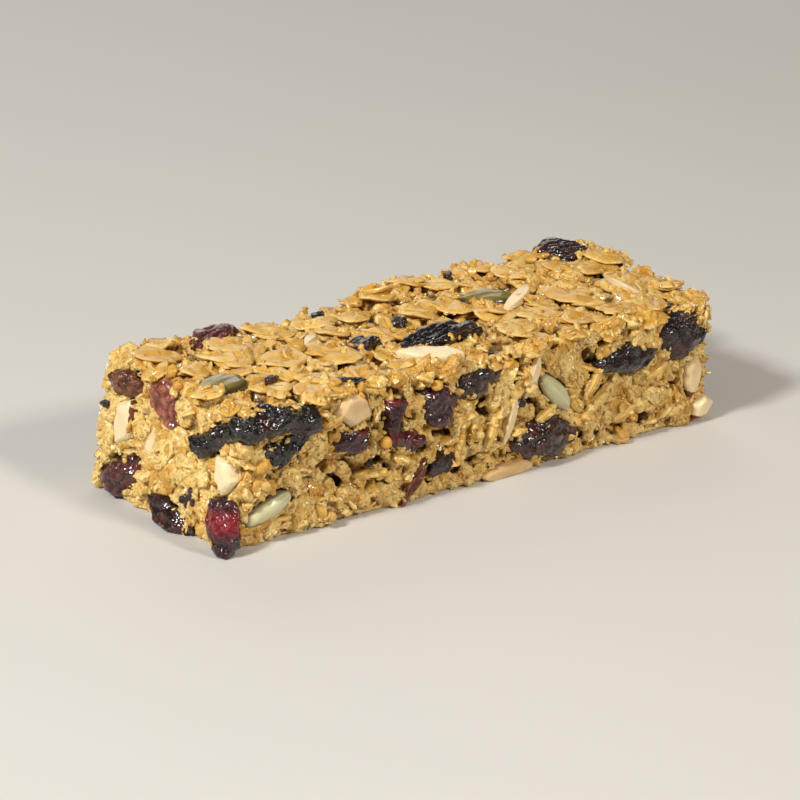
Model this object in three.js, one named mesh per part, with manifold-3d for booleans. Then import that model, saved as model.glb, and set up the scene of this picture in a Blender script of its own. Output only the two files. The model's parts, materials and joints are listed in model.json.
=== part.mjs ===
// A granola bar: a pressed block of rolled oats with raisins, cranberries, prunes, almonds and seeds bedded
// in its faces.
// Millimetres, +Z up. The bar lies along X with its near end at low x and its front side at low y.
// While it is built, x is counted from the near end's foot, y from the centre line and z from the base.
import * as THREE from 'three';
import { mergeVertices } from 'three/addons/utils/BufferGeometryUtils.js';
import Module from 'manifold-3d';

const wasm = await Module();
wasm.setup();

// Driving dimensions of the oat block
const BAR_LENGTH = 108;
const BAR_WIDTH = 32.2;
const BAR_HEIGHT = 21.5;
const NEAR_END_LEAN = 3; // how far the near end's top stands back from its foot
const FAR_END_LEAN = 3.4;
const FAR_END_SKEW = 4.4; // how much further the far end reaches at the back than at the front
const EDGE_ROUND = 1.6;
const RIPPLE = 0.42; // height of the uneven swells of the pressed and cut faces
const BACK_DIP = 1.5; // the top sinks this much along the near half of its back edge
const BACK_RISE = 0.9; // and rises this much along the far half
const DIP_REACHED = 0.35; // shares of the length where the dip is at its full depth,
const RISE_STARTS = 0.44; // where the dip turns into the rise
const RISE_REACHED = 0.52; // and where the rise is at its full height
const CELLS = { along: 22, across: 7, up: 5 };

// The pieces and their beds
const BED_GAP = 0.3; // clearance between a piece and the oats around it
const LARGE_FRUIT = 12; // a fruit at least this long gets the finer surface
const FINE = 2;
const COARSE = 1;
const STRAND_SIDES = 8;

const KINDS = {
  oats: { color: 0xd8b275, roughness: 0.7 },
  raisin: { color: 0x3a1f1c, roughness: 0.4 },
  sultana: { color: 0x8a4230, roughness: 0.4 },
  cranberry: { color: 0x5a1420, roughness: 0.35 },
  prune: { color: 0x1d1a1f, roughness: 0.45 },
  almond: { color: 0xe6cf9f, roughness: 0.6 },
  pumpkin_seed: { color: 0x857d3a, roughness: 0.5 },
  sunflower_seed: { color: 0xc9c29a, roughness: 0.6 },
};

const smooth = (t) => t * t * (3 - 2 * t);
const rampUp = (value, start, end) => smooth(Math.min(1, Math.max(0, (value - start) / (end - start))));

// Gentle swells that never repeat along the bar
function swell({ x, y, z }) {
  const long = Math.sin(0.31 * x + 0.9) * Math.cos(0.27 * y - 0.4 + 0.2 * z);
  const mid = Math.sin(0.62 * x - 0.55 * y + 1.7) * Math.cos(0.48 * z + 0.35 * y);
  const short = Math.sin(1.15 * x + 0.9 * z) * Math.sin(1.05 * y - 0.7 * z + 2.1);
  return (long + 0.8 * mid + 0.5 * short) * RIPPLE;
}

const nearEnd = (z) => (NEAR_END_LEAN * z) / BAR_HEIGHT;
const farEnd = (y, z) => BAR_LENGTH - (FAR_END_LEAN * z) / BAR_HEIGHT + (FAR_END_SKEW * y) / BAR_WIDTH;

function topHeight(x, y) {
  const atBack = rampUp(y, 0, BAR_WIDTH / 2);
  const share = x / BAR_LENGTH;
  const farHalf = rampUp(share, RISE_STARTS, RISE_REACHED);
  const dip = BACK_DIP * rampUp(share, 0, DIP_REACHED);
  return BAR_HEIGHT + atBack * (farHalf * BACK_RISE - (1 - farHalf) * dip);
}

// Manifold solids and three.js geometries

function solidOf(geometry, matrix = new THREE.Matrix4()) {
  const bare = new THREE.BufferGeometry();
  const source = geometry.index ? geometry.toNonIndexed() : geometry;
  bare.setAttribute('position', source.getAttribute('position').clone());
  bare.applyMatrix4(matrix);
  const merged = mergeVertices(bare, 1e-3);
  return new wasm.Manifold(
    new wasm.Mesh({
      numProp: 3,
      vertProperties: new Float32Array(merged.attributes.position.array),
      triVerts: new Uint32Array(merged.index.array),
    }),
  );
}

function geometryOf(solid) {
  const mesh = solid.getMesh();
  const geometry = new THREE.BufferGeometry();
  geometry.setAttribute('position', new THREE.BufferAttribute(mesh.vertProperties, 3));
  geometry.setIndex(new THREE.BufferAttribute(mesh.triVerts, 1));
  geometry.computeVertexNormals();
  return geometry;
}

// The oat block: a box whose grid is bent to the bar's leaning ends, rounded edges and uneven faces

// Grid coordinate in -0.5..0.5 to millimetres, with one row kept at the rounded edge
function gridPlace(t, cells, size) {
  const step = Math.round((t + 0.5) * cells);
  if (step === 0) return 0;
  if (step === cells) return size;
  return EDGE_ROUND + ((step - 1) / (cells - 2)) * (size - 2 * EDGE_ROUND);
}

function roundedPlace(place) {
  const size = new THREE.Vector3(BAR_LENGTH, BAR_WIDTH, BAR_HEIGHT);
  const inner = place.clone().clamp(
    new THREE.Vector3().addScalar(EDGE_ROUND),
    size.clone().subScalar(EDGE_ROUND),
  );
  const out = place.clone().sub(inner).normalize();
  return { out, place: inner.addScaledVector(out, EDGE_ROUND) };
}

function oatBlock() {
  const { along, across, up } = CELLS;
  const geometry = new THREE.BoxGeometry(1, 1, 1, along, across, up);
  const position = geometry.getAttribute('position');
  for (let i = 0; i < position.count; i++) {
    const grid = new THREE.Vector3(
      gridPlace(position.getX(i), along, BAR_LENGTH),
      gridPlace(position.getY(i), across, BAR_WIDTH),
      gridPlace(position.getZ(i), up, BAR_HEIGHT),
    );
    const onFloor = grid.z === 0;
    const { out, place } = roundedPlace(grid);
    if (onFloor) {
      place.z = 0;
      out.z = 0;
    }
    const y = place.y - BAR_WIDTH / 2;
    const height = (place.z / BAR_HEIGHT) * topHeight(place.x, y);
    const share = place.x / BAR_LENGTH;
    const x = (1 - share) * nearEnd(height) + share * farEnd(y, height);
    const bent = new THREE.Vector3(x, y, height);
    bent.addScaledVector(out, swell(bent));
    position.setXYZ(i, bent.x, bent.y, onFloor ? 0 : bent.z);
  }
  return geometry;
}

// Shapes of the pieces: long axis along x, flat side facing z. `grow` swells them for their beds.

// A soft body: an icosphere stretched to size, tapered to its low-x end, with folds running along it
function lump({ size, taper = 0, folds = 0.07 }, grow) {
  const geometry = new THREE.IcosahedronGeometry(1, size[0] < LARGE_FRUIT ? COARSE : FINE);
  const position = geometry.getAttribute('position');
  const [long, wide, deep] = size.map((s) => s / 2 + grow);
  for (let i = 0; i < position.count; i++) {
    const [x, y, z] = [position.getX(i), position.getY(i), position.getZ(i)];
    const fold = 1 + folds * Math.sin(3 * Math.atan2(z, y) + 2.5 * x);
    const slim = 1 + taper * x;
    position.setXYZ(i, long * x, wide * y * fold * slim, deep * z * fold * slim);
  }
  return geometry;
}

// A chopped nut: an uneven many-sided slab with its edges bevelled
function chunk({ size, sides = 6 }, grow) {
  const [long, wide, deep] = size.map((s) => s / 2 + grow);
  const bevel = deep * 0.35;
  const outline = new THREE.Shape();
  for (let k = 0; k < sides; k++) {
    const angle = (2 * Math.PI * k) / sides;
    const reach = 1 + 0.14 * Math.sin(2.4 * k);
    const corner = [(long - bevel) * reach * Math.cos(angle), (wide - bevel) * reach * Math.sin(angle)];
    if (k) outline.lineTo(...corner);
    else outline.moveTo(...corner);
  }
  const depth = 2 * (deep - bevel);
  const bevelling = { bevelThickness: bevel, bevelSize: bevel, bevelSegments: 1 };
  return new THREE.ExtrudeGeometry(outline, { depth, ...bevelling }).translate(0, 0, -depth / 2);
}

const SHAPES = {
  raisin: lump,
  sultana: lump,
  cranberry: (piece, grow) => lump({ folds: 0.1, ...piece }, grow),
  prune: (piece, grow) => lump({ folds: 0.1, ...piece }, grow),
  almond: chunk,
  pumpkin_seed: (piece, grow) => lump({ taper: 0.22, folds: 0, ...piece }, grow),
  sunflower_seed: (piece, grow) => lump({ taper: 0.28, folds: 0, ...piece }, grow),
};

// The bar's faces: where a place on each lies, and its axes (along the face, up the face, out of it)
const axes = (along, up, out) => [along, up, out].map((v) => new THREE.Vector3(...v));
const HALF = BAR_WIDTH / 2;
const FACES = {
  top: { on: ({ x, y }) => [x, y, topHeight(x, y)], axes: axes([1, 0, 0], [0, 1, 0], [0, 0, 1]) },
  front: { on: ({ x, z }) => [x, -HALF, z], axes: axes([1, 0, 0], [0, 0, 1], [0, -1, 0]) },
  back: { on: ({ x, z }) => [x, HALF, z], axes: axes([-1, 0, 0], [0, 0, 1], [0, 1, 0]) },
  near: { on: ({ y, z }) => [nearEnd(z), y, z], axes: axes([0, -1, 0], [0, 0, 1], [-1, 0, 0]) },
  far: { on: ({ y, z }) => [farEnd(y, z), y, z], axes: axes([0, 1, 0], [0, 0, 1], [1, 0, 0]) },
  under: { on: ({ x, y }) => [x, y, 0], axes: axes([1, 0, 0], [0, -1, 0], [0, 0, -1]) },
};

// Pieces set in each face. A row is a piece's name, its kind, its place on the face, its size as
// [long, wide, deep], its turn in degrees from the face's first axis, how far it stands out of the face
// and, where it has them, the other values of its shape.
const PIECES_BY_FACE = {
  near: [
    ['sultana_near_red', 'sultana', { y: 1.2, z: 17.4 }, [8.2, 5.2, 4.6], -42, 1.1],
    ['sultana_near_brown', 'sultana', { y: 11.4, z: 17.6 }, [8.4, 4, 4.6], 4, 1],
    ['almond_near', 'almond', { y: 9.9, z: 12 }, [7.8, 4.6, 3.4], 70, 0.8],
    ['raisin_near_low', 'raisin', { y: 9.8, z: 3.4 }, [9.6, 6.4, 5.2], 14, 1.2, { taper: -0.15 }],
    ['raisin_near_foot', 'raisin', { y: -2.4, z: 1.8 }, [9.4, 4, 4.4], -18, 1],
    ['cranberry_near_corner', 'cranberry', { y: -14.4, z: 4.1 }, [9.4, 5.4, 4.4], -66, 1.4],
    ['almond_near_pale', 'almond', { y: -13.4, z: 11.6 }, [5.8, 3.4, 3.2], -80, 1, { sides: 5 }],
  ],
  top: [
    ['raisin_top_long', 'raisin', { x: 50.8, y: -6 }, [15.6, 5, 4.4], -3, 1.7, { taper: 0.3 }],
    ['raisin_top_small', 'raisin', { x: 37.6, y: -2 }, [6.4, 4.6, 3.6], 5, 0.8],
    ['raisin_top_back_near', 'sultana', { x: 21, y: 12.6 }, [9.8, 5.2, 4.6], 2, 1.5],
    ['raisin_top_back_far', 'raisin', { x: 97, y: 12.8 }, [10.4, 6.4, 5], -24, 1.3],
    ['pumpkin_seed_top_near', 'pumpkin_seed', { x: 7.8, y: -4.4 }, [9.6, 6, 2.6], 12, 0.9],
    ['pumpkin_seed_top_far', 'pumpkin_seed', { x: 70, y: 3.4 }, [10, 5.8, 2.8], -22, 1],
    ['almond_top_slice', 'almond', { x: 44, y: -11.4 }, [10.2, 4.6, 2], -36, 0.8],
  ],
  front: [
    ['sunflower_seed_front_low', 'sunflower_seed', { x: 8.4, z: 5.4 }, [9, 3.9, 2.8], 22, 0.9],
    ['almond_front_edge', 'almond', { x: 24, z: 18.2 }, [7.2, 5.4, 4.2], -24, 0.9, { sides: 5 }],
    ['cranberry_front_dark', 'cranberry', { x: 24.4, z: 12.9 }, [7.8, 4.2, 4.8], 16, 0.8],
    ['cranberry_front_mauve', 'cranberry', { x: 42.6, z: 14.6 }, [8, 5.6, 5], -36, 0.9],
    ['raisin_front_high', 'raisin', { x: 50.4, z: 17 }, [8, 4.6, 4.6], 24, 0.8],
    ['raisin_front_bit', 'cranberry', { x: 43.6, z: 5.4 }, [5.2, 3.2, 3.2], 36, 0.8],
    ['sunflower_seed_front_mid', 'sunflower_seed', { x: 67.4, z: 12.4 }, [9.8, 4, 2.8], -44, 0.9],
    ['raisin_front_big', 'raisin', { x: 67, z: 4.6 }, [15, 6.6, 6], -2, 1.1, { taper: -0.12 }],
    ['almond_front_foot', 'almond', { x: 58.4, z: 0.9 }, [10.4, 2.8, 3], 0, 0.9],
    ['raisin_front_far', 'raisin', { x: 84, z: 14.6 }, [12.4, 5.2, 5], 4, 1],
    ['prune_front_corner', 'prune', { x: 98.2, z: 16.6 }, [10.4, 7.2, 7], -4, 1.1],
    ['almond_front_far', 'almond', { x: 100, z: 8.8 }, [6.8, 3.8, 3.4], 88, 0.8],
    ['almond_front_far_foot', 'almond', { x: 103, z: 2.6 }, [4.8, 3.8, 3.6], 14, 0.9, { sides: 5 }],
  ],
  back: [
    ['raisin_back_middle', 'raisin', { x: 33, z: 10 }, [12, 6, 5], 15, 0.9],
    ['raisin_back_foot', 'sultana', { x: 52, z: 3 }, [9.6, 5.2, 4.8], -8, 0.9],
    ['cranberry_back', 'cranberry', { x: 62, z: 14.6 }, [9, 6, 5], -30, 0.9],
    ['almond_back', 'almond', { x: 76, z: 8.4 }, [8, 5, 4], 58, 0.8],
    ['pumpkin_seed_back', 'pumpkin_seed', { x: 14, z: 12.4 }, [10.6, 5.6, 2.6], -48, 0.8],
    ['prune_back', 'prune', { x: 95, z: 8.6 }, [10.4, 6, 5], 28, 0.9],
  ],
  far: [
    ['raisin_far_high', 'raisin', { y: 4, z: 15 }, [11, 5.4, 5], -14, 0.9],
    ['cranberry_far_low', 'cranberry', { y: -4.6, z: 7 }, [8, 5.6, 5], 40, 0.9],
    ['sunflower_seed_far', 'sunflower_seed', { y: 9, z: 6 }, [9.4, 4, 2.8], 62, 0.9],
  ],
  under: [
    ['raisin_under_near', 'raisin', { x: 24, y: 6 }, [12, 6, 4.6], 24, 0.8],
    ['cranberry_under', 'cranberry', { x: 68, y: -5.6 }, [9, 6.4, 4.6], -40, 0.8],
    ['almond_under', 'almond', { x: 84, y: 7 }, [8, 5.4, 3.8], 10, 0.8],
    ['pumpkin_seed_under', 'pumpkin_seed', { x: 38, y: -9 }, [10.4, 5.8, 2.8], 70, 0.8],
  ],
};

const pieceOf = (face, [name, kind, at, size, turn, proud, shape]) => {
  return { name, kind, face, at, size, turn, proud, ...shape };
};
const PIECES = Object.entries(PIECES_BY_FACE).flatMap(([face, rows]) => {
  return rows.map((row) => pieceOf(face, row));
});

// Fruit pressed out of shape follows bent paths of [x, y, z] points, all of one thickness.
const BENT_PIECES = [
  {
    name: 'prune_near_corner',
    kind: 'prune',
    thickness: 4.2,
    paths: [
      [[2.7, -7.4, 14.4], [3.2, -11.6, 16.8], [4.4, -14.6, 19], [9.6, -14.9, 19], [16.4, -15.1, 17.4]],
      [[13.6, -15, 17], [12, -15, 14.4], [7.6, -15.1, 13.6]],
      [[4.4, -14.6, 19], [4.2, -14.2, 20.6]],
    ],
  },
  {
    name: 'cranberry_front_curl',
    kind: 'cranberry',
    thickness: 3.4,
    paths: [[[32.8, -15.4, 17.4], [32.5, -15.2, 14], [34.6, -15.2, 11.2], [38, -15.3, 10.4]]],
  },
];

function placement({ face, at, size, turn, proud }) {
  const { on, axes: frame } = FACES[face];
  const centre = new THREE.Vector3(...on(at)).addScaledVector(frame[2], proud - size[2] / 2);
  return new THREE.Matrix4()
    .makeBasis(...frame)
    .setPosition(centre)
    .multiply(new THREE.Matrix4().makeRotationZ(THREE.MathUtils.degToRad(turn)));
}

function setPiece(piece, grow) {
  return solidOf(SHAPES[piece.kind](piece, grow), placement(piece));
}

// A round strand along a path, `grow` longer at each end and thicker all round
function strand(path, thickness, grow) {
  const points = path.map((place) => new THREE.Vector3(...place));
  const lengthened = (end, next) => end.clone().add(end.clone().sub(next).setLength(grow));
  const [first, last] = [lengthened(points[0], points[1]), lengthened(points.at(-1), points.at(-2))];
  const curve = new THREE.CatmullRomCurve3([first, ...points.slice(1, -1), last]);
  const section = new THREE.Shape();
  section.absarc(0, 0, thickness / 2 + grow, 0, 2 * Math.PI);
  const steps = 2 * (points.length - 1);
  const extrusion = { extrudePath: curve, steps, curveSegments: STRAND_SIDES / 2 };
  return solidOf(new THREE.ExtrudeGeometry(section, extrusion));
}

function bentPiece({ paths, thickness }, grow) {
  return paths.map((path) => strand(path, thickness, grow)).reduce((whole, next) => whole.add(next));
}

// What would reach below the base is pressed flat against it.
const slab = new THREE.BoxGeometry(2 * BAR_LENGTH, 2 * BAR_WIDTH, BAR_HEIGHT);
const belowBase = solidOf(slab.translate(BAR_LENGTH / 2, 0, -BAR_HEIGHT / 2));

const bar = new THREE.Group();

function addNode(name, kind, solid) {
  const material = new THREE.MeshStandardMaterial({ ...KINDS[kind], metalness: 0 });
  const mesh = new THREE.Mesh(geometryOf(solid), material);
  mesh.name = name;
  bar.add(mesh);
}

let block = solidOf(oatBlock());
for (const piece of PIECES) {
  block = block.subtract(setPiece(piece, BED_GAP));
  addNode(piece.name, piece.kind, setPiece(piece, 0).subtract(belowBase));
}
for (const piece of BENT_PIECES) {
  block = block.subtract(bentPiece(piece, BED_GAP));
  addNode(piece.name, piece.kind, bentPiece(piece, 0).subtract(belowBase));
}
addNode('oat_block', 'oats', block);

// The origin is the middle of the base.
const whole = new THREE.Box3().setFromObject(bar);
const middle = whole.getCenter(new THREE.Vector3());
bar.position.set(-middle.x, -middle.y, 0);

export default bar;
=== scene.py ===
"""A granola bar: a crumbly block of pressed oats with flakes lying on its top, dried fruit, chopped almonds
and seeds bedded in its faces, and syrup in its hollows, whose dark brown there is partly painted shade.

Shapes are worked out in millimetres and written to the meshes in metres.
"""
import json
import math
import random

import bpy
import numpy as np
from mathutils import Matrix, Vector, noise
from mathutils.bvhtree import BVHTree


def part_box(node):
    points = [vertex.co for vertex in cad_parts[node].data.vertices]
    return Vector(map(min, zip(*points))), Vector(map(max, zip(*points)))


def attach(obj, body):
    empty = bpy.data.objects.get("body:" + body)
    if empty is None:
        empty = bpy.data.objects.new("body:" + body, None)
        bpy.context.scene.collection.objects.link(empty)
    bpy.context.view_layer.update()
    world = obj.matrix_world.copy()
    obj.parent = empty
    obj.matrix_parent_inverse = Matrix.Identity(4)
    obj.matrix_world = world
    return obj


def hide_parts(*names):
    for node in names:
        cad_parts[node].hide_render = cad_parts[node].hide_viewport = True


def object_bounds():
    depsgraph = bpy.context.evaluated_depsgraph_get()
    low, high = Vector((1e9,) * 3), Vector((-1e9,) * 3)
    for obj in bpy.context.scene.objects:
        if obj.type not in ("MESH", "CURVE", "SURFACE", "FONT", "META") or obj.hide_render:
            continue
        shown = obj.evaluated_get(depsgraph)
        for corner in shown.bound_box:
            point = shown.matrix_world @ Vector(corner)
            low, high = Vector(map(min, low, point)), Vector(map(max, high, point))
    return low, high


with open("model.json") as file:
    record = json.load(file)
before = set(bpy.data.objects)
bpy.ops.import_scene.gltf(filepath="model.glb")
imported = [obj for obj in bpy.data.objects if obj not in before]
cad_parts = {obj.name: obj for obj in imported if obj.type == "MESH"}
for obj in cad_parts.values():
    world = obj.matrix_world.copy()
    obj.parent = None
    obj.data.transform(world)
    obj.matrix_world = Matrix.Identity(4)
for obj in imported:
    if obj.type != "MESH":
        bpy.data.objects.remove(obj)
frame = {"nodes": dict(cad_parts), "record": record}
cad_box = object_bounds()

MM = 0.001
SEED = 20

noise.seed_set(SEED)  # otherwise noise_vector gives other values in each run

# ---------------------------------------------------------------- the bar's own measures, from the frame

BLOCK_LOW, BLOCK_HIGH = [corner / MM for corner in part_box("oat_block")]
CENTRE_Y = (BLOCK_LOW.y + BLOCK_HIGH.y) / 2
BOX_LOW, BOX_HIGH = [Vector(corner) / MM for corner in cad_box]
STAND_PROUD = Vector((1.2, 0.7, 0.5))  # how far anything may reach past the CAD box
FLOOR_SKIN = 0.01  # nothing reaches below this height

FRUIT_NODES = sorted(name for name in frame["nodes"] if name != "oat_block")


def at(x, y):
    """A place seen from above: x from the near end, y from the centre line."""
    return BLOCK_LOW.x + x, CENTRE_Y + y


def tree_of_pieces(pieces):
    """One search tree of finished pieces, in millimetres."""
    points, faces = [], []
    for piece in pieces:
        start = len(points)
        points += [vertex.co / MM for vertex in piece.data.vertices]
        faces += [[start + i for i in polygon.vertices] for polygon in piece.data.polygons]
    return BVHTree.FromPolygons(points, faces)


SMOOTH_NODES = [name for name in FRUIT_NODES if name.startswith(("almond", "sunflower", "pumpkin"))]

block_tree = tree_of_pieces([frame["nodes"]["oat_block"]])
fruit_tree = tree_of_pieces([frame["nodes"][name] for name in FRUIT_NODES])
smooth_tree = tree_of_pieces([frame["nodes"][name] for name in SMOOTH_NODES])

# Each face of the bar: the two axes that run along it, and the way in
FACES = {
    "top": (0, 1, Vector((0, 0, -1))),
    "under": (0, 1, Vector((0, 0, 1))),
    "front": (0, 2, Vector((0, 1, 0))),
    "back": (0, 2, Vector((0, -1, 0))),
    "near": (1, 2, Vector((1, 0, 0))),
    "far": (1, 2, Vector((-1, 0, 0))),
}


def spot_on(face, a, b, surface=None, over_rim=0.0):
    """Where a line into the face meets the oats: (place, outward), or None where fruit is in the way.
    With over_rim, a fruit's edge counts as well, up to that far from the oats."""
    first, second, inward = FACES[face]
    start = Vector((0, 0, 0)) - inward * 100
    start[first], start[second] = a, b
    place, outward, _, reach = (surface or block_tree).ray_cast(start, inward)
    if place is None:
        return None
    fruit_place, fruit_outward, _, fruit_reach = fruit_tree.ray_cast(start, inward)
    if fruit_reach is not None and fruit_reach < reach:
        near_rim = block_tree.find_nearest(fruit_place)[3] < over_rim
        return (fruit_place, fruit_outward) if near_rim else None
    return place, outward


def face_place(face, along, up):
    """A place along a face's two axes, from one measured from the near end, on the two ends from the centre
    line, and a height, on the top and under from the centre line."""
    a = along + (CENTRE_Y if face in ("near", "far") else BLOCK_LOW.x)
    b = up + (CENTRE_Y if face in ("top", "under") else 0)
    return a, b


def random_spots(face, count, rng, margin=0.0, surface=None, over_rim=0.0):
    """Up to `count` places spread over a face at random, those on fruit left out."""
    first, second, _ = FACES[face]
    spots = []
    for _ in range(count):
        a = rng.uniform(BLOCK_LOW[first] + margin, BLOCK_HIGH[first] - margin)
        b = rng.uniform(BLOCK_LOW[second] + margin, BLOCK_HIGH[second] - margin)
        found = spot_on(face, a, b, surface, over_rim)
        if found and not (surface is None and over_rim == 0 and in_bed(found[0])):
            spots.append(found)
    return spots


# How far in from the block's limits its bumpy faces reach: near end, far end, sides, top, underside
NEAR_REACH, FAR_REACH, SIDE_REACH, TOP_REACH, UNDER_REACH = 3.4, 7.0, 1.5, 3.4, 0.1
BED_WALL = 0.6  # the oats of a bed lie within this of the fruit


def in_bed(place):
    """Whether a place on the oats is down in the bed of a fruit."""
    outermost = max(
        BLOCK_LOW.x + NEAR_REACH - place.x,
        place.x - BLOCK_HIGH.x + FAR_REACH,
        BLOCK_LOW.y + SIDE_REACH - place.y,
        place.y - BLOCK_HIGH.y + SIDE_REACH,
        place.z - BLOCK_HIGH.z + TOP_REACH,
        UNDER_REACH - place.z,
    )
    return outermost < 0 and fruit_distance(place) < BED_WALL


def fruit_distance(place):
    return fruit_tree.find_nearest(place)[3]


SMOOTH_RIM = 0.45


def on_smooth_rim(place):
    """Whether a place is on or right beside a nut or seed, where few crumbs stick."""
    return smooth_tree.find_nearest(place)[3] < SMOOTH_RIM


# ---------------------------------------------------------------- modelling helpers


def deselect_all():
    bpy.ops.object.select_all(action="DESELECT")


def make_active(piece):
    deselect_all()
    piece.select_set(True)
    bpy.context.view_layer.objects.active = piece


def apply_modifier(piece, kind, **settings):
    make_active(piece)
    modifier = piece.modifiers.new(kind.title(), kind)
    for key, value in settings.items():
        setattr(modifier, key, value)
    bpy.ops.object.modifier_apply(modifier=modifier.name)


def merge_doubles(piece, distance=0.00001):
    make_active(piece)
    bpy.ops.object.mode_set(mode="EDIT")
    bpy.ops.mesh.select_all(action="SELECT")
    bpy.ops.mesh.remove_doubles(threshold=distance)
    bpy.ops.object.mode_set(mode="OBJECT")


def copy_of_node(node, name):
    """A closed copy of a CAD node's mesh as a new piece."""
    mesh = frame["nodes"][node].data.copy()
    mesh.materials.clear()
    piece = bpy.data.objects.new(name, mesh)
    bpy.context.scene.collection.objects.link(piece)
    merge_doubles(piece)
    return piece


def remesh(piece, voxel):
    apply_modifier(piece, "REMESH", mode="VOXEL", voxel_size=voxel * MM, use_smooth_shade=True)


def soften(piece, times):
    apply_modifier(piece, "SMOOTH", factor=0.5, iterations=times)


def join_pieces(first, others):
    """Joins the other pieces into the first."""
    make_active(first)
    for piece in others:
        piece.select_set(True)
    bpy.ops.object.join()


def points_of(piece):
    """The piece's vertices as an array, in millimetres."""
    points = np.empty(len(piece.data.vertices) * 3)
    piece.data.vertices.foreach_get("co", points)
    return points.reshape(-1, 3) / MM


def set_points(piece, points):
    points = np.clip(points, BOX_LOW - STAND_PROUD, BOX_HIGH + STAND_PROUD)
    points[:, 2] = np.maximum(points[:, 2], FLOOR_SKIN)
    piece.data.vertices.foreach_set("co", (points * MM).ravel())
    piece.data.update()


def outward_of(piece):
    """The vertices' normals as an array."""
    normals = np.empty(len(piece.data.vertices) * 3)
    piece.data.vertices.foreach_get("normal", normals)
    return normals.reshape(-1, 3)


def push(piece, height):
    """Moves each vertex along its normal by height(place, outward), all in millimetres."""
    points, normals = points_of(piece), outward_of(piece)
    heights = [height(Vector(p), Vector(n)) for p, n in zip(points, normals)]
    set_points(piece, points + normals * np.array(heights)[:, None])


def add_attribute(mesh, name, values):
    """A per-vertex number, or a vector of three, that the material reads."""
    values = np.asarray(values, dtype=np.float32)
    if values.ndim == 1:
        layer = mesh.attributes.new(name, "FLOAT", "POINT")
        layer.data.foreach_set("value", values)
    else:
        layer = mesh.attributes.new(name, "FLOAT_VECTOR", "POINT")
        layer.data.foreach_set("vector", values.ravel())


def settle(piece, material, slot, *nodes):
    """Gives a finished piece its material and body, and hides the CAD nodes it stands for. The slot is not
    used.
    """
    piece.data.materials.clear()
    piece.data.materials.append(material)
    piece.data.polygons.foreach_set("use_smooth", [True] * len(piece.data.polygons))
    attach(piece, "root")
    if nodes:
        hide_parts(*nodes)
    return piece


def smoothstep(value, start, end):
    t = min(1.0, max(0.0, (value - start) / (end - start)))
    return t * t * (3 - 2 * t)


def ramp(values, start, end):
    """Smoothstep of an array."""
    t = np.clip((values - start) / (end - start), 0, 1)
    return t * t * (3 - 2 * t)


def crevice_depth(piece, times):
    """How far the surface, smoothed `times` over, stands above each vertex: more than 0 in a crevice."""
    points = points_of(piece)
    ends = np.empty(len(piece.data.edges) * 2, dtype=np.int32)
    piece.data.edges.foreach_get("vertices", ends)
    first, second = ends.reshape(-1, 2).T
    amount = len(points)
    neighbours = np.bincount(first, minlength=amount) + np.bincount(second, minlength=amount)
    smooth = points.copy()
    for _ in range(times):
        for axis in range(3):
            values = smooth[:, axis]
            total = np.bincount(first, values[second], amount) + np.bincount(second, values[first], amount)
            smooth[:, axis] = total / neighbours
    return ((smooth - points) * outward_of(piece)).sum(1)


# ---------------------------------------------------------------- materials


def linear(code):
    """A hex colour as linear red, green, blue and 1."""
    channels = [int(code[i : i + 2], 16) / 255 for i in (0, 2, 4)]
    return [c / 12.92 if c <= 0.04045 else ((c + 0.055) / 1.055) ** 2.4 for c in channels] + [1.0]


def add_node(tree, kind, inputs=None, **settings):
    """A shader node; each input is a value or another node's output socket."""
    node = tree.nodes.new(kind)
    for key, value in settings.items():
        setattr(node, key, value)
    for key, value in (inputs or {}).items():
        socket = node.inputs[key]
        if isinstance(value, bpy.types.NodeSocket):
            tree.links.new(value, socket)
        else:
            socket.default_value = value
    return node


def blend_colours(tree, share, first, second):
    mix = add_node(tree, "ShaderNodeMix", {0: share, 6: first, 7: second}, data_type="RGBA")
    return mix.outputs[2]


def calculate(tree, operation, *values, clamp=False):
    inputs = dict(enumerate(values))
    return add_node(tree, "ShaderNodeMath", inputs, operation=operation, use_clamp=clamp).outputs[0]


def range_of(tree, value, low, high, to_low=0.0, to_high=1.0):
    inputs = {"Value": value, "From Min": low, "From Max": high, "To Min": to_low, "To Max": to_high}
    return add_node(tree, "ShaderNodeMapRange", inputs).outputs[0]


def noise_field(tree, place, per_mm, detail=2.0, roughness=0.5, distortion=0.0):
    inputs = {
        "Vector": place,
        "Scale": per_mm / MM,
        "Detail": detail,
        "Roughness": roughness,
        "Distortion": distortion,
    }
    return add_node(tree, "ShaderNodeTexNoise", inputs).outputs["Fac"]


def new_group(name, inputs, outputs):
    """A shader node group; inputs and outputs are (name, socket kind) with a start value for inputs."""
    group = bpy.data.node_groups.new(name, "ShaderNodeTree")
    for label, kind, value in inputs:
        socket = group.interface.new_socket(name=label, in_out="INPUT", socket_type=kind)
        socket.default_value = value
    for label, kind in outputs:
        group.interface.new_socket(name=label, in_out="OUTPUT", socket_type=kind)
    start = group.nodes.new("NodeGroupInput")
    end = group.nodes.new("NodeGroupOutput")
    return group, start.outputs, end.inputs


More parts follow.
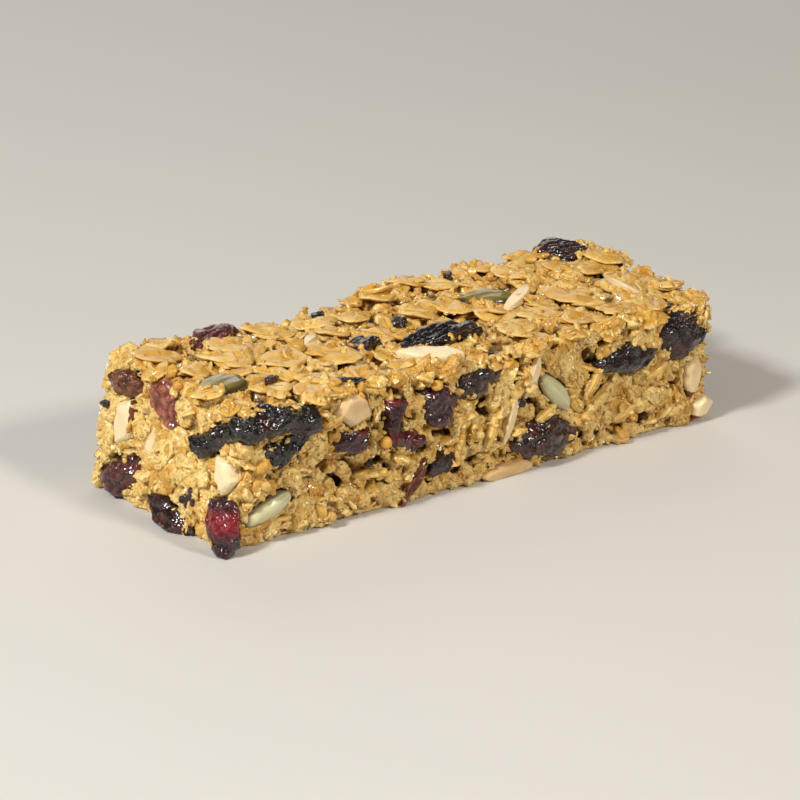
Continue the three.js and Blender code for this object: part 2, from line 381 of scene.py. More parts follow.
def toasting_group():
    """Oat colour: pale to golden by each piece's tone and by soft blotches, browner where it is toasted."""
    group, given, result = new_group(
        "toasting",
        [
            ("Tone", "NodeSocketFloat", 0.5),
            ("Pale", "NodeSocketColor", linear("f0d9a4")),
            ("Golden", "NodeSocketColor", linear("dcab5c")),
            ("Toasted", "NodeSocketColor", linear("a8652a")),
            ("Toast", "NodeSocketFloat", 0.3),
        ],
        [("Color", "NodeSocketColor")],
    )
    place = add_node(group, "ShaderNodeTexCoord").outputs["Object"]
    blotches = noise_field(group, place, 0.35, detail=3)
    fine = noise_field(group, place, 1.7, detail=3, roughness=0.65)
    height = add_node(group, "ShaderNodeSeparateXYZ", {"Vector": place}).outputs[2]
    baked = range_of(group, height, (BLOCK_HIGH.z - 5) * MM, (BLOCK_HIGH.z - 1.5) * MM)
    mixed = calculate(group, "ADD", calculate(group, "MULTIPLY", given["Tone"], 0.6), blotches)
    mixed = calculate(group, "ADD", mixed, calculate(group, "MULTIPLY", baked, 0.2))
    share = range_of(group, mixed, 0.5, 1.05)
    body = blend_colours(group, share, given["Pale"], given["Golden"])
    spots = calculate(group, "ADD", fine, calculate(group, "MULTIPLY", given["Toast"], 0.3))
    toasted = range_of(group, spots, 0.6, 0.82)
    color = blend_colours(group, toasted, body, given["Toasted"])
    group.links.new(color, result["Color"])
    return group


def relief_group():
    """Fine surface relief: a mealy grain of the given size, with small pits in it."""
    group, given, result = new_group(
        "mealy_relief",
        [("Grains per mm", "NodeSocketFloat", 2.0)],
        [("Height", "NodeSocketFloat")],
    )
    place = add_node(group, "ShaderNodeTexCoord").outputs["Object"]
    scale = calculate(group, "DIVIDE", given["Grains per mm"], MM)
    rough = {"Vector": place, "Scale": scale, "Detail": 2.0, "Roughness": 0.6}
    grain = add_node(group, "ShaderNodeTexNoise", rough)
    cells = add_node(group, "ShaderNodeTexVoronoi", {"Vector": place, "Scale": scale})
    pits = calculate(group, "MULTIPLY", cells.outputs[0], 0.35)
    height = calculate(group, "SUBTRACT", grain.outputs["Fac"], pits)
    group.links.new(height, result["Height"])
    return group


def syrup_group():
    """Where syrup wets the surface: a patchy film, fuller on the top, as a mask from 0 to 1."""
    group, given, result = new_group(
        "syrup_film",
        [("Wetness", "NodeSocketFloat", 0.5), ("Patches per mm", "NodeSocketFloat", 0.8)],
        [("Film", "NodeSocketFloat")],
    )
    place = add_node(group, "ShaderNodeTexCoord").outputs["Object"]
    scale = calculate(group, "DIVIDE", given["Patches per mm"], MM)
    patchy = {"Vector": place, "Scale": scale, "Detail": 3.0, "Roughness": 0.6}
    patches = add_node(group, "ShaderNodeTexNoise", patchy)
    wetness = calculate(group, "MULTIPLY", given["Wetness"], 0.5)
    wet = calculate(group, "ADD", patches.outputs["Fac"], wetness)
    height = add_node(group, "ShaderNodeSeparateXYZ", {"Vector": place}).outputs[2]
    glazed = range_of(group, height, (BLOCK_HIGH.z - 4) * MM, (BLOCK_HIGH.z - 1.5) * MM, 0.0, 0.1)
    wet = calculate(group, "ADD", wet, glazed)
    film = range_of(group, wet, 0.66, 0.82)
    group.links.new(film, result["Film"])
    return group


TOASTING = toasting_group()
RELIEF = relief_group()
SYRUP = syrup_group()


def use_group(tree, group, **inputs):
    """Places a group; keyword names are its input names with _ for spaces."""
    node = tree.nodes.new("ShaderNodeGroup")
    node.node_tree = group
    for key, value in inputs.items():
        socket = node.inputs[key.replace("_", " ")]
        if isinstance(value, bpy.types.NodeSocket):
            tree.links.new(value, socket)
        else:
            socket.default_value = value
    return node.outputs


def new_material(name):
    """A material with one Principled shader; returns (material, node tree, shader inputs)."""
    material = bpy.data.materials.new(name)
    material.use_nodes = True
    tree = material.node_tree
    return material, tree, tree.nodes["Principled BSDF"].inputs


def bump(tree, height, depth, strength=1.0):
    """A normal from a height that runs 0..1 over `depth` millimetres."""
    inputs = {"Height": height, "Distance": depth * MM, "Strength": strength}
    return add_node(tree, "ShaderNodeBump", inputs).outputs[0]


def attribute(tree, name):
    return add_node(tree, "ShaderNodeAttribute", attribute_name=name)


def oat_material(name, pale, golden, toasted, toast, wetness, grains, depth, syrup):
    """Oats: mealy, toasted in spots, with a patchy film of syrup that wets the hollows; the hollows are
    darkened to syrup brown, partly as painted shade.
    """
    material, tree, shader = new_material(name)
    tone = attribute(tree, "tone").outputs["Fac"]
    hollow = attribute(tree, "hollow").outputs["Fac"]
    colours = {"Pale": linear(pale), "Golden": linear(golden), "Toasted": linear(toasted)}
    body = use_group(tree, TOASTING, Tone=tone, Toast=toast, **colours)["Color"]
    film = use_group(tree, SYRUP, Wetness=wetness, Patches_per_mm=0.9)["Film"]
    # painted shade, partly syrup: the deeper in a hollow, the more the colour goes to the syrup brown
    sunk = range_of(tree, hollow, 0.25, 0.95)
    shade_and_syrup = calculate(tree, "MULTIPLY", sunk, 0.92)
    color = blend_colours(tree, shade_and_syrup, body, linear(syrup))
    tree.links.new(color, shader["Base Color"])
    wet = calculate(tree, "MAXIMUM", film, sunk)
    tree.links.new(range_of(tree, wet, 0.0, 1.0, 0.5, 0.18), shader["Roughness"])
    tree.links.new(calculate(tree, "MULTIPLY", wet, 0.6), shader["Coat Weight"])
    shader["Coat Roughness"].default_value = 0.08
    shader["Subsurface Weight"].default_value = 0.12
    shader["Subsurface Radius"].default_value = (1.0, 0.5, 0.2)
    shader["Subsurface Scale"].default_value = 0.9 * MM
    height = use_group(tree, RELIEF, Grains_per_mm=grains)["Height"]
    tree.links.new(bump(tree, height, depth), shader["Normal"])
    return material


def long_lines(tree, along, scale):
    """Faint lines that follow a flake or seed along its length."""
    stretched = add_node(tree, "ShaderNodeMapping", {"Vector": along, "Scale": scale}).outputs[0]
    field = {"Vector": stretched, "Scale": 1.0, "Detail": 3.0}
    return add_node(tree, "ShaderNodeTexNoise", field).outputs["Fac"]


def flake_material():
    """A rolled flake: bran lines along it, a dark crease, a pale broken rim and a glaze of syrup."""
    material, tree, shader = new_material("oat_flake")
    tone = attribute(tree, "tone").outputs["Fac"]
    rim = attribute(tree, "rim").outputs["Fac"]
    hollow = attribute(tree, "hollow").outputs["Fac"]
    grain = attribute(tree, "grain").outputs["Vector"]
    colours = {"Pale": linear("eecb72"), "Golden": linear("cf9c3c"), "Toasted": linear("a66c28")}
    body = use_group(tree, TOASTING, Tone=tone, Toast=0.1, **colours)["Color"]
    lines = long_lines(tree, grain, (0.35, 3.2, 1.0))
    streaks = range_of(tree, lines, 0.52, 0.8)
    lined = blend_colours(tree, calculate(tree, "MULTIPLY", streaks, 0.3), body, linear("b98638"))
    parts = add_node(tree, "ShaderNodeSeparateXYZ", {"Vector": grain}).outputs
    bent = calculate(tree, "ADD", parts[1], calculate(tree, "MULTIPLY", lines, 0.5))
    off_line = calculate(tree, "ABSOLUTE", bent)
    crease = range_of(tree, off_line, 0.05, 0.22, 0.6, 0.0)
    short = range_of(tree, calculate(tree, "ABSOLUTE", parts[0]), 1.6, 2.8, 1.0, 0.0)
    creased = blend_colours(tree, calculate(tree, "MULTIPLY", crease, short), lined, linear("94622a"))
    uneven = calculate(tree, "ADD", rim, calculate(tree, "MULTIPLY", lines, 0.25))
    edge = range_of(tree, uneven, 0.85, 1.15, 0.0, 0.6)
    edged = blend_colours(tree, edge, creased, linear("f6dea0"))
    # painted shade: flakes of the deep layer darken towards brown
    shade_and_syrup = range_of(tree, hollow, 0.3, 1.0, 0.0, 0.8)
    tree.links.new(blend_colours(tree, shade_and_syrup, edged, linear("7a4c18")), shader["Base Color"])
    film = use_group(tree, SYRUP, Wetness=0.6, Patches_per_mm=0.45)["Film"]
    tree.links.new(range_of(tree, film, 0.0, 1.0, 0.48, 0.3), shader["Roughness"])
    tree.links.new(range_of(tree, film, 0.0, 1.0, 0.03, 0.38), shader["Coat Weight"])
    shader["Coat Roughness"].default_value = 0.1
    shader["Specular IOR Level"].default_value = 0.3
    shader["Subsurface Weight"].default_value = 0.15
    shader["Subsurface Radius"].default_value = (1.0, 0.5, 0.2)
    shader["Subsurface Scale"].default_value = 0.8 * MM
    mealy = use_group(tree, RELIEF, Grains_per_mm=1.6)["Height"]
    relief = calculate(tree, "ADD", calculate(tree, "MULTIPLY", mealy, 0.8), lines)
    tree.links.new(bump(tree, relief, 0.14), shader["Normal"])
    return material


def fruit_material(name, dark, flesh, glow, wetness=0.5, roughness=0.3, sugar_glints=0.0, crinkle=0.62):
    """Dried fruit skin: darker in its creases and lighter on its folds as painted shade and highlight,
    redder where it is thin, with pale sugar specks that also serve as painted glints, unevenly glossy.
    """
    material, tree, shader = new_material(name)
    place = add_node(tree, "ShaderNodeTexCoord").outputs["Object"]
    crest = attribute(tree, "crest").outputs["Fac"]
    thin = attribute(tree, "thin").outputs["Fac"]
    patches = noise_field(tree, place, 0.45, detail=3)
    # painted shade and highlight: from the crest mask, the skin goes dark in the creases and lighter on the
    # crests
    share = range_of(tree, calculate(tree, "ADD", crest, patches), 0.55, 1.5)
    body = blend_colours(tree, share, linear(dark), linear(flesh))
    glowing = blend_colours(tree, calculate(tree, "MULTIPLY", thin, 0.75), body, linear(glow))
    # pale sugar specks, which also stand in for painted highlight glints
    glint_specks = range_of(tree, noise_field(tree, place, 2.6, detail=2), 0.66, 0.72, 0.0, sugar_glints)
    tree.links.new(blend_colours(tree, glint_specks, glowing, linear("c9a46a")), shader["Base Color"])
    film = use_group(tree, SYRUP, Wetness=wetness, Patches_per_mm=0.6)["Film"]
    tree.links.new(range_of(tree, film, 0.0, 1.0, roughness + 0.04, roughness - 0.12), shader["Roughness"])
    tree.links.new(range_of(tree, film, 0.0, 1.0, 0.4, 1.0), shader["Coat Weight"])
    shader["Coat Roughness"].default_value = 0.07
    shader["Specular IOR Level"].default_value = 0.3
    shader["Subsurface Weight"].default_value = 0.1
    shader["Subsurface Radius"].default_value = (1.0, 0.25, 0.12)
    shader["Subsurface Scale"].default_value = 1.2 * MM
    wrinkles = noise_field(tree, place, 1.0, detail=2.5, roughness=crinkle, distortion=0.8)
    tree.links.new(bump(tree, wrinkles, 0.5), shader["Normal"])
    return material


def nut_material(name, flesh, deep, skin):
    """A cut nut: smooth waxy flesh, faintly clouded, and brown skin where the cut leaves it on."""
    material, tree, shader = new_material(name)
    place = add_node(tree, "ShaderNodeTexCoord").outputs["Object"]
    peel = attribute(tree, "peel").outputs["Fac"]
    tone = attribute(tree, "tone").outputs["Fac"]
    clouded = calculate(tree, "ADD", noise_field(tree, place, 0.3, detail=3), tone)
    cloud = range_of(tree, clouded, 0.75, 1.75)
    body = blend_colours(tree, cloud, linear(flesh), linear(deep))
    edge = range_of(tree, calculate(tree, "ADD", peel, noise_field(tree, place, 0.8)), 1.2, 1.32)
    tree.links.new(blend_colours(tree, edge, body, linear(skin)), shader["Base Color"])
    tree.links.new(range_of(tree, edge, 0.0, 1.0, 0.42, 0.6), shader["Roughness"])
    shader["Subsurface Weight"].default_value = 0.2
    shader["Subsurface Radius"].default_value = (1.0, 0.7, 0.4)
    shader["Subsurface Scale"].default_value = 1.0 * MM
    film = use_group(tree, SYRUP, Wetness=0.3, Patches_per_mm=0.5)["Film"]
    tree.links.new(calculate(tree, "MULTIPLY", film, 0.5), shader["Coat Weight"])
    shader["Coat Roughness"].default_value = 0.2
    fine = noise_field(tree, place, 1.6, detail=4)
    tree.links.new(bump(tree, fine, 0.06), shader["Normal"])
    return material


def seed_material(name, pale, deep, rim_color, roughness):
    """A seed's thin coat: long faint lines, a darker rim."""
    material, tree, shader = new_material(name)
    place = add_node(tree, "ShaderNodeTexCoord").outputs["Object"]
    along = attribute(tree, "grain").outputs["Vector"]
    rim = attribute(tree, "rim").outputs["Fac"]
    lines = long_lines(tree, along, (0.3, 2.6, 2.6))
    body = blend_colours(tree, range_of(tree, lines, 0.3, 0.95), linear(pale), linear(deep))
    uneven = calculate(tree, "ADD", rim, calculate(tree, "MULTIPLY", lines, 0.1))
    edge = range_of(tree, uneven, 0.84, 0.98, 0.0, 0.85)
    tree.links.new(blend_colours(tree, edge, body, linear(rim_color)), shader["Base Color"])
    film = use_group(tree, SYRUP, Wetness=0.5, Patches_per_mm=0.4)["Film"]
    tree.links.new(range_of(tree, film, 0.0, 1.0, roughness + 0.1, roughness - 0.1), shader["Roughness"])
    tree.links.new(calculate(tree, "MULTIPLY", film, 0.6), shader["Coat Weight"])
    shader["Coat Roughness"].default_value = 0.15
    shader["Subsurface Weight"].default_value = 0.1
    shader["Subsurface Radius"].default_value = (0.8, 0.7, 0.3)
    shader["Subsurface Scale"].default_value = 0.8 * MM
    mealy = noise_field(tree, place, 1.8, detail=3)
    tree.links.new(bump(tree, calculate(tree, "ADD", lines, mealy), 0.05), shader["Normal"])
    return material


# Each oat material's syrup colour is what its hollows darken to, partly as painted shade.
MATERIALS = {
    "oats": oat_material(
        "oat_mass", "eccc7e", "c8943a", "88501c", 0.3, 0.42, grains=2.2, depth=0.22, syrup="3c1c06"
    ),
    "granules": oat_material(
        "oat_granules", "f3d689", "d09d3d", "96602a", 0.28, 0.46, grains=2.2, depth=0.16, syrup="5c360e"
    ),
    "crumbs": oat_material(
        "oat_crumbs", "f6dc98", "d5a442", "96602a", 0.28, 0.6, grains=3.0, depth=0.1, syrup="5c360e"
    ),
    "flakes": flake_material(),
    "raisin": fruit_material("raisin_skin", "1b0d0b", "4a2822", "642a1c"),
    "dark_raisin": fruit_material("dark_raisin_skin", "080505", "241414", "38140f", 0.6),
    "red_raisin": fruit_material("red_raisin_skin", "32140f", "6e3430", "8a3c24"),
    "sultana": fruit_material("sultana_skin", "6a3022", "b0684f", "bc7650", 0.5, sugar_glints=0.1),
    "brown_sultana": fruit_material("brown_sultana_skin", "48200e", "864a20", "a85e22", 0.45, sugar_glints=0.1),
    "cranberry": fruit_material("cranberry_skin", "200a12", "4a1822", "8c101c", 0.55),
    "prune": fruit_material(
        "prune_skin", "080606", "211718", "4a1416", 0.85, roughness=0.26, sugar_glints=0.06, crinkle=0.74
    ),
    "amber_prune": fruit_material("amber_prune_skin", "140a0c", "321a1e", "83400f", 0.5, crinkle=0.66),
    "almond": nut_material("almond_flesh", "efdcb0", "c99a56", "6e3218"),
    "pumpkin_seed": seed_material("pumpkin_seed_coat", "86763a", "5e5220", "30290e", 0.26),
    "sunflower_seed": seed_material("sunflower_kernel", "cfcba2", "b3ac7e", "5a5034", 0.45),
    "millet": nut_material("millet_hull", "d8a648", "b87c24", "a8701e"),
}

# ---------------------------------------------------------------- small shapes that are scattered


def take_shape(piece, long, wide, **values):
    """A scratch piece as arrays, in millimetres. The piece itself is removed."""
    apply_modifier(piece, "TRIANGULATE")
    points = points_of(piece)
    faces = np.array([polygon.vertices for polygon in piece.data.polygons])
    reach = np.hypot(points[:, 0] / (long / 2), points[:, 1] / (wide / 2))
    bpy.data.objects.remove(piece)
    return {"points": points, "faces": faces, "rim": np.minimum(reach / reach.max(), 1.0)}


FLAKE_LONG, FLAKE_WIDE = 8.2, 5.6
SLIVER_LONG, SLIVER_WIDE = 8.0, 1.7


def model_flake(seed, spokes=26, rings=8, thick=0.85):
    """A rolled oat flake: a flat disc with a ragged, split or broken edge, a crease and a warp."""
    deselect_all()
    bpy.ops.mesh.primitive_uv_sphere_add(segments=spokes, ring_count=rings, radius=MM)
    flake = bpy.context.object
    rng = random.Random(seed)
    shift = Vector((seed * 7.3, seed * 3.1, 1.7))
    splits = [(rng.uniform(0, math.tau), rng.uniform(0.1, 0.3), rng.uniform(0.12, 0.3)) for _ in range(2)]
    breaks = [(rng.uniform(0, math.tau), rng.uniform(0.55, 0.85)) for _ in range(seed % 2)]
    cup, twist = rng.uniform(-0.5, 0.5), rng.uniform(-0.35, 0.35)
    for vertex in flake.data.vertices:
        x, y, z = vertex.co / MM
        angle = math.atan2(y, x)
        reach = min(1.0, math.hypot(x, y))
        around = Vector((math.cos(angle), math.sin(angle), 0))
        spread = 1 + 0.18 * noise.noise(around * 1.1 + shift) + 0.07 * noise.noise(around * 3.5 + shift)
        for way, deep, width in splits:
            off = (angle - way + math.pi) % math.tau - math.pi
            spread *= 1 - deep * math.exp(-((off / width) ** 2)) * reach
        px, py = x * spread, y * spread
        for way, limit in breaks:
            over = px * math.cos(way) + py * math.sin(way) - limit
            if over > 0:
                px, py = px - over * math.cos(way), py - over * math.sin(way)
        px, py = px * FLAKE_LONG / 2, py * FLAKE_WIDE / 2
        side = math.copysign(1, z) if abs(z) > 1e-4 else 0
        height = side * thick / 2 * math.sqrt(max(0.0, 1 - reach**3.5))
        flat_place = Vector((px, py, 0))
        swell = 0.5 * noise.noise(flat_place * 0.3 + shift) + 0.12 * noise.noise(flat_place * 0.9 + shift)
        off_crease = (py - 0.3 * math.sin(px * 0.7 + seed)) / 0.35
        groove = 0.22 * math.exp(-(off_crease**2)) * (1 - smoothstep(abs(px), 1.6, 3))
        lift = height + cup * y * y + twist * x * y + swell - (groove if z > 0 else -groove * 0.3)
        vertex.co = Vector((px, py, lift)) * MM
    return take_shape(flake, FLAKE_LONG, FLAKE_WIDE)


def model_lump(seed, detail, rough, flat=1.0, cuts=3):
    """A broken bit of oat: a ball knocked out of round, with a few flat broken sides."""
    deselect_all()
    bpy.ops.mesh.primitive_ico_sphere_add(subdivisions=detail + 1, radius=MM)
    lump = bpy.context.object
    shift = Vector((seed * 5.7, seed * 2.3, 4.1))
    rng = random.Random(seed)
    planes = [
        (Vector((rng.gauss(0, 1), rng.gauss(0, 1), rng.gauss(0, 1))).normalized(), rng.uniform(0.4, 0.75))
        for _ in range(cuts)
    ]
    for vertex in lump.data.vertices:
        place = vertex.co / MM
        knocked = noise.noise(place * 1.2 + shift) + 0.8 * noise.noise(place * 2.9 + shift)
        place *= min(1.3, max(0.6, 1 + rough * knocked))
        for normal, limit in planes:
            over = place.dot(normal) - limit
            if over > 0:
                place -= normal * over * 0.85
        place.z *= flat
        vertex.co = place * MM
    return take_shape(lump, 2, 2)


def model_sliver(seed):
    """A thin sliver of almond: a long slightly bent stick with cut sides and tapering ends."""
    deselect_all()
    bpy.ops.mesh.primitive_cube_add(size=MM)
    sliver = bpy.context.object
    bpy.ops.object.mode_set(mode="EDIT")
    bpy.ops.mesh.subdivide(number_cuts=4, smoothness=0)
    bpy.ops.object.mode_set(mode="OBJECT")
    shift = Vector((seed * 3.3, 0.7, seed))
    for vertex in sliver.data.vertices:
        x, y, z = vertex.co / MM
        taper = 1 - 0.62 * abs(2 * x) ** 2.6
        wobble = 0.12 * noise.noise(Vector((x * 3, y, z)) + shift)
        across = y * SLIVER_WIDE * taper + wobble + 1.1 * x * x
        vertex.co = Vector((x * SLIVER_LONG, across, z * taper + wobble)) * MM
    apply_modifier(sliver, "BEVEL", width=0.12 * MM, segments=1, limit_method="ANGLE")
    return take_shape(sliver, SLIVER_LONG, SLIVER_WIDE)


def axes_on(outward, spin, tilt=0.0, tilt_way=0.0):
    """Rotation that lays a shape flat on a face: its z outward, turned by `spin`, tipped by `tilt`."""
    side = Vector((1, 0, 0)) if abs(outward.x) < 0.8 else Vector((0, 1, 0))
    across = outward.cross(side).normalized()
    along = across.cross(outward).normalized()
    base = Matrix((along, across, outward)).transposed()
    tip = Matrix.Rotation(tilt, 3, Vector((math.cos(tilt_way), math.sin(tilt_way), 0)))
    return base @ tip @ Matrix.Rotation(spin, 3, "Z")


def any_turn(rng):
    """A rotation taken at random."""
    axis = Vector((rng.gauss(0, 1), rng.gauss(0, 1), rng.gauss(0, 1))).normalized()
    return Matrix.Rotation(rng.uniform(0, math.tau), 3, axis)


class Heap:
    """Copies of small shapes, joined into one mesh."""

    def __init__(self):
        self.points, self.faces, self.tone, self.grain, self.rim, self.hollow = [], [], [], [], [], []
        self.count = 0

    def add(self, shape, place, turn, scale, tone, hollow=0.0, outward=None):
        """Adds a copy. With outward, its side that faces into the bar gets more painted shade."""
        sized = shape["points"] * np.array(scale)
        turned = sized @ np.array(turn).T
        self.points.append(turned + np.array(place))
        self.faces.append(shape["faces"] + self.count)
        amount = len(sized)
        self.tone.append(np.full(amount, tone))
        shade_and_syrup = np.full(amount, hollow)
        # painted shade: the side of a copy that faces into the bar is darkened more
        if outward is not None:
            inside = -turned @ np.array(outward)
            shade_and_syrup = shade_and_syrup + 0.6 * inside / np.abs(inside).max()
        self.hollow.append(np.clip(shade_and_syrup, 0, 1))
        self.grain.append(sized + np.array([0, 0, tone * 50]))
        self.rim.append(shape["rim"])
        self.count += amount

    def finish(self, name):
        points = np.concatenate(self.points)
        faces = np.concatenate(self.faces)
        mesh = bpy.data.meshes.new(name)
        mesh.vertices.add(len(points))
        mesh.loops.add(faces.size)
        mesh.polygons.add(len(faces))
        mesh.loops.foreach_set("vertex_index", faces.ravel())
        mesh.polygons.foreach_set("loop_start", np.arange(0, faces.size, 3))
        mesh.polygons.foreach_set("loop_total", np.full(len(faces), 3))
        piece = bpy.data.objects.new(name, mesh)
        bpy.context.scene.collection.objects.link(piece)
        set_points(piece, points)
        mesh.update(calc_edges=True)
        for label in ("tone", "grain", "rim", "hollow"):
            add_attribute(mesh, label, np.concatenate(getattr(self, label)))
        return piece


# ---------------------------------------------------------------- the oat block

SIDE_FACES = ("front", "back", "near", "far")
LENGTH, WIDTH, HEIGHT = BLOCK_HIGH - BLOCK_LOW
FACE_SIZES = {
    "top": (LENGTH, WIDTH),
    "under": (LENGTH, WIDTH),
    "front": (LENGTH, HEIGHT),
    "back": (LENGTH, HEIGHT),
    "near": (WIDTH, HEIGHT),
    "far": (WIDTH, HEIGHT),
}
CORE_SINK = 0.7  # the core lies this much under the faces, and crumbs fill up to them
CORE_LIFT = 0.35  # its granules stand this much up again
UNDERSIDE_TOP = 0.3  # below this height the core is pressed nearly flat
UNDERSIDE_SINK = 0.15
CORE_VOXEL = 0.34
CORE_TRIANGLES = 192000

# Deeper hollows in the oats: face, place on it (from the near end or centre line, and up or across),
# radius, depth
PITS = [
    ("front", 89.4, 3.2, 2.6, 2.8),
    ("front", 74.0, 16.0, 1.7, 2.8),
    ("front", 32.4, 5.6, 1.7, 2.2),
    ("front", 28.2, 19.4, 1.8, 2.4),
    ("front", 50.5, 6.0, 1.6, 2.0),
    ("front", 60.6, 11.2, 1.6, 2.2),
    ("front", 12.6, 12.6, 1.7, 2.6),
    ("front", 7.0, 12.2, 1.3, 2.0),
    ("front", 12.4, 6.4, 1.3, 1.8),
    ("front", 28.4, 8.2, 1.3, 1.8),
    ("front", 71.2, 9.2, 1.4, 2.0),
    ("front", 44.0, 6.2, 1.4, 1.8),
    ("front", 40.6, 1.2, 1.4, 1.8),
    ("front", 89.0, 13.0, 1.5, 2.2),
    ("front", 81.0, 13.8, 1.3, 1.8),
    ("near", 2.6, 21.5, 2.3, 2.6),
    ("near", 6.4, 8.9, 1.4, 1.8),
    ("near", -5.7, 13.0, 1.0, 1.6),
    ("near", -11.5, 6.0, 1.5, 2.0),
    ("near", 11.5, 11.0, 1.1, 1.6),
    ("top", 3.2, 2.6, 2.2, 2.8),
    ("top", 12.3, 1.1, 1.9, 2.8),
    ("top", 22.9, -10.8, 1.7, 2.4),
    ("top", 25.4, -5.8, 1.3, 2.4),
    ("top", 27.9, 9.0, 2.0, 2.4),
    ("top", 34.4, -3.6, 2.6, 2.8),
    ("top", 11.6, -9.6, 1.6, 2.2),
    ("top", 15.2, -12.4, 1.4, 2.2),
    ("top", 49.5, -7.3, 1.4, 1.8),
    ("top", 56.6, 7.2, 1.6, 1.8),
    ("top", 59.5, -3.7, 1.5, 1.8),
    ("top", 44.4, 4.6, 1.8, 2.0),
    ("top", 78.9, -11.2, 1.4, 1.8),
    ("top", 70.6, 6.4, 1.6, 2.0),
    ("top", 94.6, 1.8, 1.8, 1.8),
    ("back", 30, 12, 2.2, 2.4),
    ("back", 66, 8, 2.2, 2.4),
    ("back", 50, 17, 1.6, 2.0),
    ("back", 92, 13, 1.6, 2.2),
    ("far", 2, 8, 2.0, 2.4),
    ("far", -8, 17, 1.5, 2.0),
]


def depth_under_face(place):
    """How far a place lies under the CAD block's surface."""
    nearest, outward, _, distance = block_tree.find_nearest(place)
    return distance if (place - nearest).dot(outward) < 0 else -distance


def broken_relief(place):
    """Rounded masses of about 4 mm and granules on them, with sharp gaps between."""
    bent = place + noise.noise_vector(place * 0.45) * 1.2
    masses = noise.voronoi(bent / 3.8 + Vector((2, 9, 4)))[0]
    wide = noise.voronoi(bent / 1.7)[0]
    fine = noise.voronoi(place / 0.85 + Vector((5, 1, 3)))[0]
    cracks = 1 - smoothstep(masses[1] - masses[0], 0.03, 0.3)
    gaps = 1 - smoothstep(wide[1] - wide[0], 0.02, 0.3)
    return 0.4 - 0.7 * masses[0] - 1.5 * cracks - 0.35 * wide[0] - 0.45 * gaps - 0.25 * fine[0]


def pit_centres():
    """The pits that aren't on fruit: (place, radius, depth)."""
    centres = []
    for face, along, up, radius, deep in PITS:
        spot = spot_on(face, *face_place(face, along, up))
        if spot:
            centres.append((spot[0], radius, deep))
    return centres


PIT_CENTRES = pit_centres()


def over_pit(place, around=1.0):
    return any((place - centre).length < radius + around for centre, radius, _ in PIT_CENTRES)


# Clumps to a square millimetre of each face
CLUMP_DENSITIES = {"top": 0.09, "under": 0.16, "front": 0.3, "back": 0.3, "near": 0.16, "far": 0.3}


def make_clumps(rng):
    """Lumps that fuse with the core: the larger granules of the faces, half sunk."""
    shapes = [model_lump(seed + 20, 1, 0.5, cuts=2) for seed in range(12)]
    heap = Heap()
    for face, (length, width) in FACE_SIZES.items():
        count = int(length * width * CLUMP_DENSITIES[face])
        for place, outward in random_spots(face, count, rng, margin=0.6):
            radius = 0.5 + 1.1 * rng.random() ** 1.8
            if fruit_distance(place) < radius * 0.9:
                continue
            scale = [radius * rng.uniform(0.65, 1.4) for _ in range(3)]
            depth = radius * 0.6 + rng.uniform(0, 0.9)
            heap.add(rng.choice(shapes), place - outward * depth, any_turn(rng), scale, 0.5)
    return heap.finish("clumps")


def core_height(place, outward):
    """How far the core stands over the block: less broken on the top and near end, level at fruit."""
    bed = smoothstep(fruit_distance(place), 0.35, 1.1)
    if place.z < UNDERSIDE_TOP:
        return -UNDERSIDE_SINK * bed
    strength = 1 - 0.25 * smoothstep(outward.z, 0.5, 0.9) - 0.65 * smoothstep(-outward.x, 0.5, 0.9)
    hollow = 1.2 * strength * smoothstep(noise.noise(place * 0.3 + Vector((3, 8, 1))), 0.08, 0.42)
    for centre, radius, deep in PIT_CENTRES:
        apart = (place - centre).length
        if apart < radius:
            hollow = max(hollow, deep * (1 - smoothstep(apart, radius * 0.3, radius)))
    return bed * (broken_relief(place) * strength - CORE_SINK + CORE_LIFT - hollow)


def core_look(core):
    """Per vertex, the core's tone: mottled at random, and paler on crests and on the near end as painted
    light; and how deep in a crevice or pit, where syrup brown is painted, partly as shade.
    """
    crevices = crevice_depth(core, 14)
    points = points_of(core)
    places = [Vector(point) for point in points]
    depths = np.array([depth_under_face(place) for place in places])
    mottle = np.array([noise.noise(place * 0.6) for place in places])
    pitted = np.zeros(len(points))
    for centre, radius, _ in PIT_CENTRES:
        apart = np.linalg.norm(points - np.array(centre), axis=1)
        pitted = np.maximum(pitted, 1 - ramp(apart, radius * 0.8, radius * 1.4))
    near_end = 1 - ramp(points[:, 0] - BLOCK_LOW.x, 2.5, 5.5)
    # painted light: paler on crests and on the near end, which the key lamp lights most, over a random
    # mottle
    tones = 0.5 + 0.6 * mottle - 0.5 * ramp(-crevices, 0.04, 0.25) - 0.4 * near_end
    # painted shade: deep in crevices and pits the colour goes to syrup brown, less so on the near end
    hollows = np.maximum(ramp(depths, 1.0, 2.3), ramp(crevices, 0.04, 0.22))
    hollows = np.maximum(hollows, pitted * ramp(depths, 0.2, 1.1))
    return tones, hollows * (1 - 0.3 * near_end)


def make_core():
    """The pressed mass: the block sunk a little under its faces, broken into granules and pits."""
    core = copy_of_node("oat_block", "oat_core")
    remesh(core, CORE_VOXEL)
    push(core, core_height)
    join_pieces(core, [make_clumps(random.Random(SEED + 9))])
    remesh(core, CORE_VOXEL)
    soften(core, 1)
    push(core, lambda place, outward: 0.14 * noise.noise(place * 1.7) + 0.14 * noise.noise(place * 3.4))
    tones, hollows = core_look(core)
    add_attribute(core.data, "tone", tones)
    add_attribute(core.data, "hollow", hollows)
    triangles = sum(len(polygon.vertices) - 2 for polygon in core.data.polygons)
    apply_modifier(core, "DECIMATE", ratio=min(1.0, CORE_TRIANGLES / triangles))
    set_points(core, points_of(core))
    return settle(core, MATERIALS["oats"], "oats", "oat_block")


